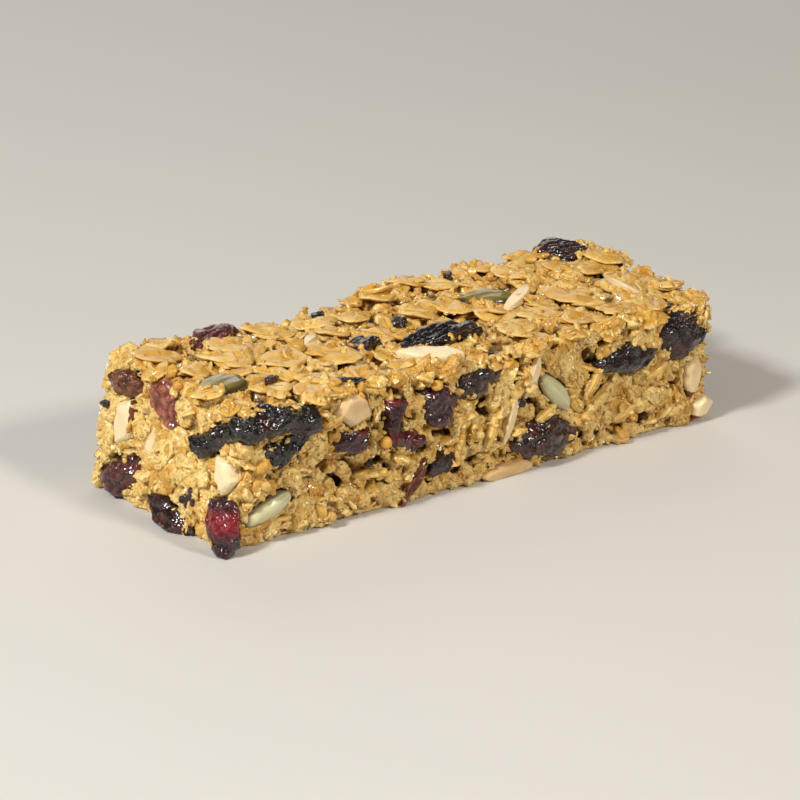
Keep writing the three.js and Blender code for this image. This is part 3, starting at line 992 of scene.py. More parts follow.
# The large flakes on the top: x, y, long, wide, turn in degrees, tilt in degrees, tone
TOP_FLAKES = [
    (31.4, 13.3, 9.3, 5.8, -13, 8, 0.4),
    (19.9, 7.9, 8.9, 5.8, -11, 5, 0.75),
    (38.7, 9.9, 7.8, 4.4, -13, 6, 0.3),
    (22.7, -0.8, 9.4, 6.6, -17, 3, 0.45),
    (18.9, -5.4, 5.4, 4.4, -13, 4, 0.35),
    (30.6, -2.9, 9.7, 7.0, -60, 4, 0.6),
    (4.5, -5.4, 5.6, 4.2, -45, 6, 0.35),
    (21.2, -9.0, 5.9, 4.6, -6, 5, 0.5),
    (7.4, 9.9, 8.4, 5.8, -12, 6, 0.95),
    (8.0, 2.6, 5.5, 4.4, 1, 9, 0.3),
    (81.6, 9.2, 8.4, 6.6, -5, 6, 0.4),
    (82.7, -3.1, 9.6, 6.2, -61, 4, 0.7),
    (75.3, -2.2, 5.6, 4.4, -67, 8, 0.9),
    (91.1, 8.2, 6.0, 5.0, -30, 6, 0.6),
    (88.1, 14.3, 6.8, 5.1, 3, 8, 0.65),
    (100.9, 7.4, 7.2, 5.5, -49, 4, 0.45),
    (85.8, -10.7, 9.4, 5.7, 0, 6, 0.7),
    (76.8, -11.0, 6.2, 5.4, 2, 5, 0.8),
    (65.2, -8.5, 9.0, 5.6, -12, 4, 0.8),
    (63.4, -10.9, 7.9, 6.2, -34, 8, 0.3),
    (62.1, 2.7, 7.1, 5.5, -3, 10, 0.35),
    (54.7, 12.9, 7.5, 5.7, -13, 7, 0.45),
    (62.4, 14.9, 6.5, 5.4, -14, 6, 0.6),
    (28.6, -12.9, 7.2, 5.0, -15, 7, 0.4),
    (46.5, 9.5, 7.4, 5.2, 30, 6, 0.5),
    (13.0, -10.6, 6.2, 4.8, 40, 8, 0.4),
]


# The pale flake that lies over the end of the pumpkin seed near the end: x, y, long, wide, turn
SEED_FLAKE = (3.4, -6.4, 5.6, 4.0, -14)

# Layers of flakes: face, how many, how far over the face, how steeply they may lie, margin
TOP_LAYERS = [
    ("top", 120, -0.65, 0.22, 1.2),
    ("top", 72, -0.3, 0.14, 1.5),
    ("under", 120, -0.5, 0.1, 3.5),
]
SIDE_LAYERS = [
    ("near", 48, -0.2, 0.1, 1.6),
    ("front", 66, -0.45, 0.24, 1.5),
    ("back", 66, -0.45, 0.24, 1.5),
    ("far", 20, -0.4, 0.24, 2.0),
]


SHORTEST_FLAKE = 3.0
FACE_ON = 0.75  # flakes lie where the block's face looks this squarely along its way out
DEEP_LAYER = -0.75  # flakes lower than this lie in shade


def strew_flakes(heap, shapes, layers, longest, rng):
    """Flakes laid at random on faces, smaller near fruit."""
    for face, count, rise, steep, margin in layers:
        level = -FACES[face][2]
        for place, outward in random_spots(face, count, rng, margin=margin):
            long = min(rng.uniform(4.0, longest), 2.2 * fruit_distance(place) + 2.2)
            if long < SHORTEST_FLAKE or over_pit(place) or outward.dot(level) < FACE_ON:
                continue
            upright = outward.lerp(level, 0.5).normalized()
            turn = axes_on(upright, rng.uniform(0, math.tau), rng.gauss(0, steep), rng.uniform(0, math.tau))
            size = (long / FLAKE_LONG, long * rng.uniform(0.6, 0.8) / FLAKE_WIDE, 1)
            lift = rise + rng.uniform(-0.3, 0.25)
            # painted shade: the flakes that lie deep are given a hollow value that darkens them
            hollow = 0.4 if lift < DEEP_LAYER else 0.0
            heap.add(rng.choice(shapes), place + outward * lift, turn, size, rng.random(), hollow)


def half_upright(outward):
    """The way out of a face, turned halfway to straight up."""
    return outward.lerp(Vector((0, 0, 1)), 0.5).normalized()


def make_top_flakes(rng):
    """Flakes pressed flat on the top and under the bar: loose layers, and the large ones."""
    shapes = [model_flake(seed) for seed in range(12)]
    large = [model_flake(seed + 12, spokes=40, rings=14) for seed in range(9)]
    heap = Heap()
    strew_flakes(heap, shapes, TOP_LAYERS, FLAKE_LONG, rng)
    for index, (x, y, long, wide, turn, tilt, tone) in enumerate(TOP_FLAKES):
        found = spot_on("top", *at(x, y))
        if found:
            place, outward = found
            spin = math.radians(turn)
            turned = axes_on(half_upright(outward), spin, math.radians(tilt) * 0.7, spin + 1.2)
            size = (long / FLAKE_LONG, wide / FLAKE_WIDE, 1)
            heap.add(large[index % 9], place - outward * 0.05, turned, size, tone * 0.8)
    x, y, long, wide, turn = SEED_FLAKE
    place, outward = spot_on("top", *at(x, y), over_rim=9)
    turned = axes_on(half_upright(outward), math.radians(turn))
    size = (long / FLAKE_LONG, wide / FLAKE_WIDE, 0.8)
    heap.add(large[0], place + outward * 0.6, turned, size, 0.0)
    return settle(heap.finish("oat_flakes"), MATERIALS["flakes"], "oats")


LONGEST_PLATE = 6.2


def make_plates(rng):
    """Flakes pressed flat into the sides, fused with the crumbs round them."""
    shapes = [model_flake(seed + 60, thick=1.0) for seed in range(10)]
    heap = Heap()
    strew_flakes(heap, shapes, SIDE_LAYERS, LONGEST_PLATE, rng)
    return settle(heap.finish("oat_plates"), MATERIALS["granules"], "oats")


# Flakes seen edge on: face, place on it, long, wide, turn in degrees
FLAKE_EDGES = [
    ("front", 77.9, 9.3, 9.0, 1.7, 36),
    ("front", 75.6, 12.4, 5.4, 1.4, 58),
    ("front", 53.0, 8.6, 5.0, 1.3, 68),
    ("front", 49.6, 9.6, 4.6, 1.2, 74),
    ("front", 46.6, 7.4, 4.0, 1.2, 66),
    ("front", 65.6, 9.0, 4.4, 1.4, 30),
    ("front", 84.2, 5.2, 5.0, 1.4, 18),
    ("front", 25.0, 11.6, 4.0, 1.3, 65),
    ("front", 90.8, 11.2, 4.8, 1.3, 25),
    ("front", 19.6, 17.2, 4.0, 1.3, 15),
    ("near", 8.6, 13.0, 4.4, 1.3, 80),
    ("near", -8.6, 16.2, 4.0, 1.2, 70),
    ("top", 58.4, 4.4, 4.6, 1.4, -50),
    ("top", 101.0, -8.0, 5.4, 1.4, -20),
    ("top", 68.0, 1.0, 4.6, 1.4, 60),
    ("back", 18, 16, 5.4, 1.4, 40),
    ("back", 37, 12, 6.0, 1.5, -30),
    ("back", 58, 14, 5.0, 1.3, 70),
    ("back", 75, 9, 6.4, 1.5, 20),
    ("back", 98, 7, 5.0, 1.3, -60),
    ("far", -3, 15, 5.0, 1.4, 30),
    ("far", 6, 5, 5.4, 1.4, -40),
]


EDGE_FLAKES, FLAKE_BITS = 0.032, 0.06  # to a square millimetre of each side
BITS_FROM = 1.6  # height over the floor that both start at


def make_side_flakes(rng):
    """Flakes that the cut sides show edge on, and broken bits of flake lying at all angles."""
    shapes = [model_flake(seed + 40, spokes=12, rings=5) for seed in range(10)]
    heap = Heap()
    for face in SIDE_FACES:
        area = FACE_SIZES[face][0] * FACE_SIZES[face][1]
        for place, outward in random_spots(face, int(area * EDGE_FLAKES), rng, margin=1.0):
            lean = rng.gauss(0, 0.5)
            level = Matrix.Rotation(lean, 3, outward) @ Vector((0, 0, 1))
            level.normalize()
            turn = axes_on(level, rng.uniform(0, math.tau), rng.gauss(0, 0.2), rng.uniform(0, 6))
            size = rng.uniform(0.45, 0.85)
            if fruit_distance(place) < 1.2 or place.z < BITS_FROM:
                continue
            shape = rng.choice(shapes)
            scale = (size, size, rng.uniform(0.9, 1.3))
            heap.add(shape, place - outward * (2.3 * size), turn, scale, rng.random() * 0.7)
        for place, outward in random_spots(face, int(area * FLAKE_BITS), rng, margin=0.4):
            size = rng.uniform(0.2, 0.5)
            if fruit_distance(place) < 0.4 or place.z < BITS_FROM:
                continue
            turn = axes_on(outward, rng.uniform(0, math.tau), rng.gauss(0, 0.6), rng.uniform(0, 6))
            scale = (size, size * rng.uniform(0.8, 1.2), rng.uniform(0.7, 1.2))
            shape = rng.choice(shapes)
            sunk = place - outward * rng.uniform(0.1, 0.7)
            heap.add(shape, sunk, turn, scale, rng.random() * 0.8)
    return settle(heap.finish("oat_flake_bits"), MATERIALS["flakes"], "oats")


AMBER_SHARE = 0.05  # of the crumbs, those soaked with syrup right through


def scatter_lumps(name, shapes, densities, sizes, sunk, material, rng, surface=None, over_rim=0.0):
    """Lumps over every face, fewer in the patches left open; sizes and sunk are ranges in millimetres."""
    heap = Heap()
    for face, (length, width) in FACE_SIZES.items():
        density = densities[face] if face in densities else densities["sides"]
        spots = random_spots(face, int(length * width * density), rng, 0.2, surface, over_rim)
        for place, outward in spots:
            depth = depth_under_face(place)
            on_flake = face == "top" and depth < 0.3
            in_pit = depth > 1.7 or over_pit(place, -0.2)
            if (on_flake or in_pit or on_smooth_rim(place)) and rng.random() < 0.88:
                continue
            if depth > 1.1 and rng.random() < 0.5:
                continue
            radius = sizes[0] + (sizes[1] - sizes[0]) * rng.random() ** 2
            if face == "top":
                radius *= 0.75
            scale = [radius * part * rng.uniform(0.75, 1.3) for part in (1.25, 0.95, 0.65)]
            # painted light: crumbs on the near end, which the key lamp lights most, are paler
            tone = min(1.0, max(0.0, rng.gauss(0.1 if face == "near" else 0.4, 0.3)))
            # painted shade: crumbs deeper under the face are darker, with some darkening at random
            hollow = 0.85 * smoothstep(depth, 0.7, 1.9) + rng.uniform(0, 0.22)
            if rng.random() < AMBER_SHARE:
                hollow = rng.uniform(0.35, 0.6)
            inside = place - outward * rng.uniform(*sunk) * radius
            heap.add(rng.choice(shapes), inside, any_turn(rng), scale, tone, hollow, outward)
    piece = settle(heap.finish(name), MATERIALS[material], "oats")
    make_active(piece)
    bpy.ops.object.shade_smooth_by_angle(angle=math.radians(50))
    return piece


def make_granules(rng, surface):
    shapes = [model_lump(seed, 1, 0.5, cuts=2) for seed in range(20)]
    density = {"sides": 0.3, "near": 0.12, "top": 0.28, "under": 0.06}
    sizes, sunk = (0.45, 1.3), (0.1, 0.8)
    return scatter_lumps("oat_granules", shapes, density, sizes, sunk, "granules", rng, surface, 0.5)


def make_crumbs(rng, surface):
    shapes = [model_lump(seed + 60, 0, 0.5, cuts=0) for seed in range(20)]
    density = {"sides": 1.15, "near": 0.55, "top": 1.25, "under": 0.3}
    sizes, sunk = (0.2, 0.55), (-0.2, 0.6)
    return scatter_lumps("oat_crumbs", shapes, density, sizes, sunk, "crumbs", rng, surface, 0.4)


# The large pale lumps: face, place on it, radius
LARGE_LUMPS = [
    ("near", 13.6, 20.2, 3.0),
    ("near", 15.2, 17.0, 1.8),
    ("near", 14.6, 9.4, 2.2),
    ("near", 14.9, 2.6, 1.6),
    ("near", -15.2, 2.4, 1.7),
    ("near", 3.4, 16.6, 1.6),
    ("near", -8.4, 9.2, 1.7),
    ("front", 9.6, 1.8, 1.5),
    ("front", 13.8, 2.2, 1.3),
    ("front", 33.6, 1.6, 1.5),
    ("front", 5.6, 14.0, 1.8),
    ("front", 69.2, 16.6, 1.9),
    ("front", 84.6, 9.4, 1.7),
    ("front", 47.6, 13.6, 1.6),
    ("top", 21.4, 13.6, 1.9),
    ("top", 8.6, 14.4, 1.8),
    ("top", 62.0, -15.4, 1.8),
    ("top", 96.6, -9.0, 1.8),
    ("top", 40.4, -13.6, 1.7),
    ("back", 24, 17, 2.0),
    ("back", 80, 6, 2.0),
    ("back", 54, 4, 1.7),
    ("far", -13, 4, 1.9),
]


def make_large_lumps(rng):
    shapes = [model_lump(seed + 110, 2, 0.45, cuts=3) for seed in range(8)]
    heap = Heap()
    for index, (face, along, up, radius) in enumerate(LARGE_LUMPS):
        scale = (radius * 1.15, radius, radius * 0.75)
        turn = rng.uniform(0, 360)
        set_in(heap, shapes[index % 8], face, along, up, scale, turn, -0.45 * radius, rng.uniform(0, 0.3))
    return settle(heap.finish("oat_lumps"), MATERIALS["granules"], "oats")


def make_collars(rng, surface):
    """Granules stuck along the rims of the fruit, lapping over them."""
    shapes = [model_lump(seed + 90, 1, 0.5, cuts=2) for seed in range(12)]
    heap = Heap()
    for face, (length, width) in FACE_SIZES.items():
        for place, outward in random_spots(face, int(length * width * 0.9), rng, 0.4, surface, 0.7):
            if fruit_distance(place) > 0.8 or place.z < 0.8 or rng.random() < 0.45:
                continue
            if on_smooth_rim(place) and rng.random() < 0.85:
                continue
            radius = rng.uniform(0.35, 0.85)
            scale = [radius * part * rng.uniform(0.75, 1.3) for part in (1.3, 0.95, 0.6)]
            tone = min(1.0, max(0.0, rng.gauss(0.4, 0.3)))
            turn = axes_on(outward, rng.uniform(0, math.tau), rng.gauss(0, 0.4), rng.uniform(0, math.tau))
            # painted shade: the side of each granule that faces into the bar is darkened
            heap.add(rng.choice(shapes), place, turn, scale, tone, rng.uniform(0, 0.3), outward)
    return settle(heap.finish("oat_rim_crumbs"), MATERIALS["granules"], "oats")


# ---------------------------------------------------------------- fruit, nuts and seeds


FRUIT_VOXEL = 0.24  # almonds are built with it too
SEED_VOXEL = 0.22


def own_axes(points):
    """A piece's middle and its long, middle and short axes, with signs that don't depend on chance."""
    middle = points.mean(0)
    _, _, rows = np.linalg.svd(points - middle, full_matrices=False)
    for row in rows:
        row *= np.sign(row[np.argmax(np.abs(row))])
    if np.linalg.det(rows) < 0:
        rows[2] = -rows[2]
    return middle, rows


def warp_points(piece, per_mm, far, shift):
    """Pulls a piece out of its regular shape by smooth noise, up to about `far` millimetres."""
    points = points_of(piece)
    moves = np.array([noise.noise_vector(Vector(point) * per_mm + shift) for point in points])
    set_points(piece, points + (moves - moves.mean(0)) * far)


def valley(place, reach):
    """1 in the creases between folds about `reach` apart, falling to 0 on their crests."""
    return max(0.0, 1 - abs(noise.noise(place / reach)) * 3.4)


# How much a fruit swells along x, y and z, and how far it moves; the others swell by PLAIN_SWELLING
PLAIN_SWELLING = 1.1
PROUD = 0.3  # how far each fruit comes out of its face
SWELLING = {
    "prune_front_corner": ((1.36, 1.1, 1.2), (-1.6, 0, 0)),
    "raisin_front_far": ((1.2, 1.1, 1.1), (-0.8, 0, 0)),
    "raisin_front_big": ((1.1, 1.1, 1.14), (-0.4, 0, 0)),
    "raisin_front_high": ((1.2, 1.1, 1.1), (-0.4, 0, 0)),
    "cranberry_front_mauve": ((1.15, 1.1, 1.15), (-0.4, 0, 0)),
    "raisin_near_foot": ((1.1, 1.2, 1.16), (0, -0.4, 0)),
    "raisin_top_long": ((1.12, 1.1, 1.05), (0, 0, 0)),
    "prune_near_corner": ((1.06, 1.06, 1.06), (0, 0, 0)),
}


FACE_MARGINS = (2.6, 0.7, 0.7)  # a piece this close to an end, a side or the top of the block touches it
NARROWED_RAISIN = "raisin_near_low"


def way_out(points):
    """The way out of the bar from a piece: towards each face, other than the underside, that it touches."""
    out = np.zeros(3)
    for axis, margin in enumerate(FACE_MARGINS):
        out[axis] += points[:, axis].max() > BLOCK_HIGH[axis] - margin
        if axis < 2:
            out[axis] -= points[:, axis].min() < BLOCK_LOW[axis] + margin
    return out


def swell_fruit(piece, node):
    """Lets a fruit fill its bed and stand out of it; the one low on the near end narrows to one side."""
    points = points_of(piece)
    factors, move = SWELLING.get(node, ((PLAIN_SWELLING,) * 3, (0, 0, 0)))
    middle = (points.min(0) + points.max(0)) / 2
    away = (points - middle) * np.array(factors)
    if node == NARROWED_RAISIN:
        side = away[:, 1] / away[:, 1].max()
        narrowed = away[:, 2] * (1 - 0.75 * ramp(side, -0.3, 1.0))
        away[:, 2] = narrowed - 0.8 * ramp(side, 0, 1)
        away[:, 2] += 0.9 * ramp(-side, -0.2, 0.8)
    set_points(piece, middle + away + np.array(move) + way_out(points) * PROUD)


GLOWING = "cranberry_near_corner"  # its skin is thin all along its middle
RED_HEIGHT = 5.2  # of that middle, over the floor

# Pieces whose skin isn't the one of their kind
NODE_SKINS = {
    "raisin_top_long": "dark_raisin",
    "raisin_top_small": "dark_raisin",
    "raisin_front_far": "dark_raisin",
    "raisin_near_low": "red_raisin",
    "raisin_top_back_near": "red_raisin",
    "raisin_back_foot": "red_raisin",
    "sultana_near_brown": "brown_sultana",
    "prune_front_corner": "amber_prune",
    "prune_back": "amber_prune",
}


def thin_share(node, place):
    """How thin the skin is at a place, from 0 to 1: where it is thin the flesh glows through it."""
    if node == GLOWING:
        return 1 - smoothstep(abs(place.z - RED_HEIGHT), 0.6, 2.4)
    return 0.45 * smoothstep(noise.noise(place * 0.3 + Vector((4, 1, 6))), 0.12, 0.5)


def make_fruit(node, kind, depth=0.5, reach=1.7, stretch=0.4, warp=1.1, swell=0.25):
    """Dried fruit: the CAD piece smoothed, then shrivelled into folds that run along it."""
    piece = copy_of_node(node, f"{node}_shrivelled")
    remesh(piece, FRUIT_VOXEL)
    soften(piece, 6)
    swell_fruit(piece, node)
    middle, rows = own_axes(points_of(piece))
    shift = Vector((sum(map(ord, node)) * 0.37, 0, 0))
    warp_points(piece, 0.28, warp, shift)

    def own_place(place):
        local = rows @ (np.array(place) - middle)
        return Vector((local[0] * stretch, local[1], local[2])) + shift

    def folds(place):
        own = own_place(place)
        own += noise.noise_vector(own * 0.35) * 0.9
        middling = 0.45 * valley(own + Vector((9, 4, 2)), reach * 0.5)
        fine = 0.4 * valley(own + Vector((3, 7, 1)), reach * 0.28)
        return valley(own, reach) + (middling + fine)

    push(piece, lambda place, outward: swell - depth * folds(place))
    soften(piece, 1)
    places = [Vector(point) for point in points_of(piece)]
    # the crest mask, 1 on the crests and 0 in the creases, from which the skin paints shade into the
    # creases
    add_attribute(piece.data, "crest", [1 - min(1.0, folds(place)) for place in places])
    add_attribute(piece.data, "thin", [thin_share(node, place) for place in places])
    return settle(piece, MATERIALS[NODE_SKINS.get(node, kind)], kind, node)


# The ways that the skinned sides of a chopped almond look
ALMOND_SKIN = {
    "almond_near": [(0, 1, -0.1), (0, -1, 0.1)],
    "almond_front_edge": [(0.8, 0, 0.6)],
    "almond_front_far": [(1, 0, 0), (-0.2, 0, -1)],
    "almond_front_far_foot": [(-0.3, 0, -1)],
    "almond_back": [(1, 0, 0)],
    "almond_under": [(1, 0, 0)],
}

# How tan the flesh is, from 0 to 1
ALMOND_TAN = {
    "almond_near_pale": 0.1,
    "almond_front_edge": 0.75,
    "almond_front_foot": 0.9,
    "almond_front_far": 0.6,
}
PLAIN_TAN = 0.35  # of the other almonds

FOOT_STRIP = "almond_front_foot"
STRIP_HEIGHT = 1.2  # of its middle, over the floor
STRIP_PROUD = -0.1  # it is cut flat, this far behind the block's front


def make_almond(node):
    """A chopped almond: flat cut faces with worn edges, and skin left along one side."""
    piece = copy_of_node(node, f"{node}_cut")
    remesh(piece, FRUIT_VOXEL)
    soften(piece, 3)
    middle = points_of(piece).mean(0)
    shift = Vector((sum(map(ord, node)) * 0.21, 3, 0))

    def worn(place, outward):
        return 0.08 + 0.16 * noise.noise(place * 0.5 + shift) + 0.05 * noise.noise(place * 1.7)

    push(piece, worn)
    if node == FOOT_STRIP:
        points = points_of(piece)
        front = BLOCK_LOW.y + STRIP_PROUD + 0.15 * np.abs(points[:, 2] - STRIP_HEIGHT)
        points[:, 1] = np.maximum(points[:, 1], front)
        middle = points.mean(0)
        along = (points[:, 0] - middle[0]) / np.abs(points[:, 0] - middle[0]).max()
        rounding = np.sqrt(np.maximum(1 - along**2, 0.3))
        points[:, 2] = middle[2] + (points[:, 2] - middle[2]) / rounding * 0.85
        set_points(piece, points)
    tan = ALMOND_TAN.get(node, PLAIN_TAN)
    add_attribute(piece.data, "tone", np.full(len(piece.data.vertices), tan))
    away = points_of(piece) - middle
    peel = np.zeros(len(away))
    for way in ALMOND_SKIN.get(node, []):
        reach = away @ np.array(way)
        peel = np.maximum(peel, ramp(reach / reach.max(), 0.5, 0.78))
    add_attribute(piece.data, "peel", peel)
    return settle(piece, MATERIALS["almond"], "almond", node)


KERNEL_SHAPE = (1.06, 0.84, 1.0)  # a sunflower kernel against its CAD piece: length, width, thickness


def make_seed(node, kind):
    """A seed: smooth, a little ridged along its length, with a thin rim."""
    piece = copy_of_node(node, f"{node}_coat")
    remesh(piece, SEED_VOXEL)
    soften(piece, 6)
    middle, rows = own_axes(points_of(piece))
    if kind == "sunflower_seed":
        local = (points_of(piece) - middle) @ rows.T
        set_points(piece, middle + (local * np.array(KERNEL_SHAPE)) @ rows)

    def ridges(place, outward):
        local = rows @ (np.array(place) - middle)
        return 0.12 + 0.07 * math.cos(local[1] * 3.1) * (1 - smoothstep(abs(local[0]), 3, 5))

    push(piece, ridges)
    local = (points_of(piece) - middle) @ rows.T
    half = np.abs(local).max(0)
    rim = np.minimum(1.0, np.hypot(local[:, 0] / half[0], local[:, 1] / half[1]))
    add_attribute(piece.data, "grain", local)
    add_attribute(piece.data, "rim", rim)
    return settle(piece, MATERIALS[kind], kind, node)


FRUIT_LOOKS = {
    "raisin": dict(depth=0.4, reach=1.5, stretch=0.45),
    "sultana": dict(depth=0.34, reach=1.1, stretch=0.7),
    "cranberry": dict(depth=0.45, reach=1.8, stretch=0.6),
    "prune": dict(depth=0.42, reach=1.0, stretch=0.8),
}
NODE_LOOKS = {
    "raisin_top_long": dict(depth=0.6, reach=1.5, stretch=0.2, warp=0.5),
    "raisin_front_big": dict(depth=0.5, reach=1.5, stretch=0.35, warp=0.8),
    "prune_near_corner": dict(depth=0.45, reach=1.0, stretch=0.8, warp=1.4),
}


def make_pieces():
    slots = {row["node"]: row["material_slot"] for row in frame["record"]["subparts"]}
    for node in FRUIT_NODES:
        kind = slots[node]
        if kind in FRUIT_LOOKS:
            make_fruit(node, kind, **NODE_LOOKS.get(node, FRUIT_LOOKS[kind]))
        elif kind == "almond":
            make_almond(node)
        else:
            make_seed(node, kind)


# ---------------------------------------------------------------- slivers, grains and small bits of fruit

# Almond slivers: face, place on it (from the near end or centre line, and up or across), long, wide, turn,
# how far they stand out
SLIVERS = [
    ("front", 61.5, 16.0, 7.2, 1.7, 78, 0.5),
    ("front", 57.2, 9.6, 8.4, 1.5, 74, 0.5),
    ("top", 73.3, -0.4, 9.5, 2.3, 22, 0.5),
    ("top", 92.6, -4.9, 6.8, 1.6, -80, 0.6),
    ("front", 105.2, 6.6, 2.6, 1.8, 70, 0.6),
    ("back", 24, 5.6, 8.2, 1.7, 35, 0.4),
    ("back", 45, 15.0, 7.0, 1.6, -60, 0.4),
    ("back", 84, 14.0, 7.6, 1.6, 15, 0.4),
    ("far", -9, 12, 7.4, 1.7, 70, 0.4),
    ("under", 54, 3, 8.0, 1.8, 50, 0.1),
    ("top", 33, 4.4, 6.0, 1.6, 40, 0.2),
    ("near", 3.4, 10.5, 6.0, 1.5, 80, 0.3),
]

# Small bits of fruit: face, place, long, wide, turn, kind
FRUIT_BITS = [
    ("near", -7.0, 5.6, 4.3, 2.6, 60, "cranberry"),
    ("near", 14.2, 13.6, 1.6, 1.1, 0, "raisin"),
    ("near", -13.6, 17.2, 1.4, 1.0, 0, "raisin"),
    ("top", 50.0, 2.5, 2.3, 2.0, 0, "raisin"),
    ("top", 42.5, 13.4, 2.8, 1.8, 20, "raisin"),
    ("top", 25.0, -13.6, 4.4, 1.2, -30, "raisin"),
    ("top", 70.0, 12.8, 2.0, 1.4, 0, "raisin"),
    ("top", 15.6, -6.6, 3.6, 1.4, 20, "cranberry"),
    ("front", 37.6, 3.2, 7.6, 1.8, 50, "sultana"),
    ("front", 59.6, 12.0, 1.6, 1.4, 0, "raisin"),
    ("front", 28.0, 8.6, 1.6, 1.2, 0, "raisin"),
    ("back", 41, 6, 2.6, 1.8, 30, "raisin"),
    ("back", 70, 4, 3.0, 1.8, 70, "cranberry"),
    ("back", 86, 4, 2.2, 1.8, 0, "raisin"),
    ("far", 8.5, 14.5, 2.6, 1.8, 20, "cranberry"),
    ("under", 94, -4, 3.4, 2.2, 30, "raisin"),
]

MILLET = [("front", 30.8, 11.5, 1.0), ("front", 47.0, 9.0, 0.7)]
RANDOM_MILLET = 2  # more grains on each face


def set_in(heap, shape, face, along, up, scale, turn, rise, tone=0.5):
    """Sets one shape in a face, standing `rise` out of it."""
    found = spot_on(face, *face_place(face, along, up))
    if found:
        place, outward = found
        heap.add(shape, place + outward * rise, axes_on(outward, math.radians(turn)), scale, tone)


def make_flake_edges():
    shapes = [model_sliver(seed + 9) for seed in range(5)]
    heap = Heap()
    for index, (face, along, up, long, wide, turn) in enumerate(FLAKE_EDGES):
        scale = (long / SLIVER_LONG, wide / SLIVER_WIDE, 1.3)
        tone = 0.1 + 0.1 * (index % 4)
        set_in(heap, shapes[index % 5], face, along, up, scale, turn, 0.2, tone)
    return settle(heap.finish("oat_flake_edges"), MATERIALS["flakes"], "oats")


def make_slivers():
    shapes = [model_sliver(seed) for seed in range(4)]
    heap = Heap()
    for index, (face, along, up, long, wide, turn, proud) in enumerate(SLIVERS):
        scale = (long / SLIVER_LONG, wide / SLIVER_WIDE, 1.2)
        set_in(heap, shapes[index % 4], face, along, up, scale, turn, proud - 0.35)
    return settle(heap.finish("almond_slivers"), MATERIALS["almond"], "almond")


BIT_SKINS = {"raisin": "dark_raisin", "cranberry": "cranberry", "sultana": "brown_sultana"}


def make_fruit_bits():
    for kind in BIT_SKINS:
        shapes = [model_lump(seed + 80, 3, 0.5, cuts=0) for seed in range(4)]
        heap = Heap()
        for index, (face, along, up, long, wide, turn, bit_kind) in enumerate(FRUIT_BITS):
            if bit_kind == kind:
                scale = (long / 2, wide / 2, wide / 2)
                set_in(heap, shapes[index % 4], face, along, up, scale, turn, 0.35 - wide / 4)
        bits = heap.finish(f"{kind}_bits")
        # the rim stands in for the crest mask, so the painted shade lies towards the middle of each bit
        add_attribute(bits.data, "crest", np.concatenate(heap.rim))
        settle(bits, MATERIALS[BIT_SKINS[kind]], kind)


def make_millet(rng):
    grain = model_lump(99, 3, 0.06, cuts=0)
    heap = Heap()
    for face, along, up, radius in MILLET:
        set_in(heap, grain, face, along, up, (radius, radius, radius * 0.9), 0, radius * 0.35)
    for face in FACES:
        for place, outward in random_spots(face, RANDOM_MILLET, rng, margin=2.0):
            radius = rng.uniform(0.7, 0.95)
            scale = (radius, radius, radius * 0.9)
            heap.add(grain, place + outward * radius * 0.1, any_turn(rng), scale, rng.random())
    return settle(heap.finish("millet_grains"), MATERIALS["millet"], "oats")


# ---------------------------------------------------------------- floor, lights and camera

# The view: the camera looks at a place in the bar from in front of its near corner, a little from above.
VIEW_TARGET = (-6.76, -1.15, 10.04)
VIEW_DISTANCE = 534.1
VIEW_AZIMUTH = -44.4
VIEW_ELEVATION = 20.8
VIEW_ROLL = 4.8
LENS = 153


def direction(azimuth, elevation):
    """The way from the bar to something seen at that azimuth and elevation."""
    a, e = math.radians(azimuth), math.radians(elevation)
    return Vector((math.sin(a) * math.cos(e), -math.cos(a) * math.cos(e), math.sin(e)))


def make_camera():
    target = Vector(VIEW_TARGET) * MM
    back = direction(VIEW_AZIMUTH, VIEW_ELEVATION)
    data = bpy.data.cameras.new("camera")
    data.lens = LENS
    data.sensor_width = 36
    data.clip_start = 0.01
    camera = bpy.data.objects.new("camera", data)
    bpy.context.scene.collection.objects.link(camera)
    turn = back.to_track_quat("Z", "Y").to_matrix() @ Matrix.Rotation(math.radians(VIEW_ROLL), 3, "Z")
    camera.matrix_world = Matrix.Translation(target + back * VIEW_DISTANCE * MM) @ turn.to_4x4()
    bpy.context.scene.camera = camera


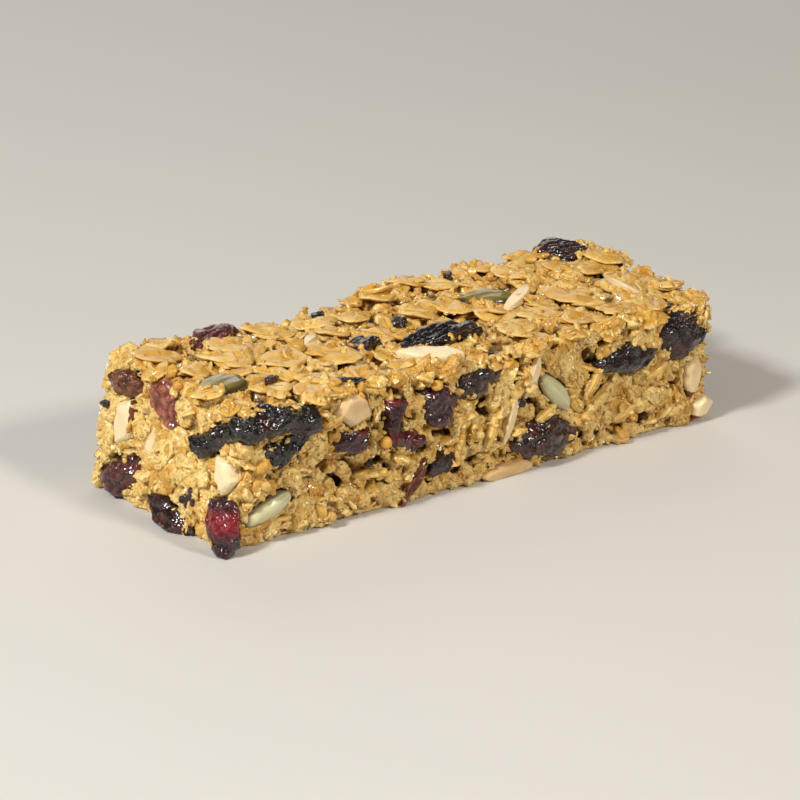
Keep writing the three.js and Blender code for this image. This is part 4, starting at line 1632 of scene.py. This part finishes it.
def add_light(name, azimuth, elevation, distance, size, power, color=(1, 1, 1)):
    """An area light aimed at the bar; distance and size in metres."""
    data = bpy.data.lights.new(name, "AREA")
    data.size = size
    data.energy = power
    data.color = color
    light = bpy.data.objects.new(name, data)
    bpy.context.scene.collection.objects.link(light)
    away = direction(azimuth, elevation)
    turn = away.to_track_quat("Z", "Y").to_matrix().to_4x4()
    light.matrix_world = Matrix.Translation(away * distance) @ turn


def make_lights():
    add_light("key", -84, 38, 0.9, 0.12, 7.0, (1.0, 0.98, 0.95))
    add_light("fill", 14, 38, 1.0, 0.16, 4.7, (1.0, 0.91, 0.79))
    add_light("overhead", -70, 50, 1.0, 0.7, 1.1)
    add_light("back", 150, 28, 1.1, 0.8, 2.6, (1.0, 0.96, 0.9))
    world = bpy.data.worlds.new("studio")
    world.use_nodes = True
    background = world.node_tree.nodes["Background"]
    background.inputs["Color"].default_value = (0.95, 0.93, 0.9, 1)
    background.inputs["Strength"].default_value = 0.1
    bpy.context.scene.world = world
    bpy.context.scene.view_settings.view_transform = "Standard"


def make_floor():
    deselect_all()
    bpy.ops.mesh.primitive_plane_add(size=6, location=(0, 0, 0))
    floor = bpy.context.object
    floor.name = "floor"
    material, tree, shader = new_material("pale_floor")
    place = add_node(tree, "ShaderNodeTexCoord").outputs["Object"]
    cloud = noise_field(tree, place, 0.004, detail=2)
    color = blend_colours(tree, range_of(tree, cloud, 0.3, 0.7), linear("cfcdc8"), linear("d4d2ce"))
    tree.links.new(color, shader["Base Color"])
    shader["Roughness"].default_value = 0.8
    floor.data.materials.append(material)


# ---------------------------------------------------------------- making it all

make_camera()
make_lights()
make_floor()
oat_pieces = [make_core()]
make_pieces()
oat_pieces.append(make_top_flakes(random.Random(SEED)))
oat_pieces.append(make_side_flakes(random.Random(SEED + 1)))
oat_pieces.append(make_plates(random.Random(SEED + 5)))
oat_pieces.append(make_flake_edges())
oat_pieces.append(make_large_lumps(random.Random(SEED + 7)))
make_slivers()
make_fruit_bits()
make_millet(random.Random(SEED + 4))
oat_surface = tree_of_pieces(oat_pieces)
make_granules(random.Random(SEED + 2), oat_surface)
make_collars(random.Random(SEED + 6), oat_surface)
make_crumbs(random.Random(SEED + 3), oat_surface)
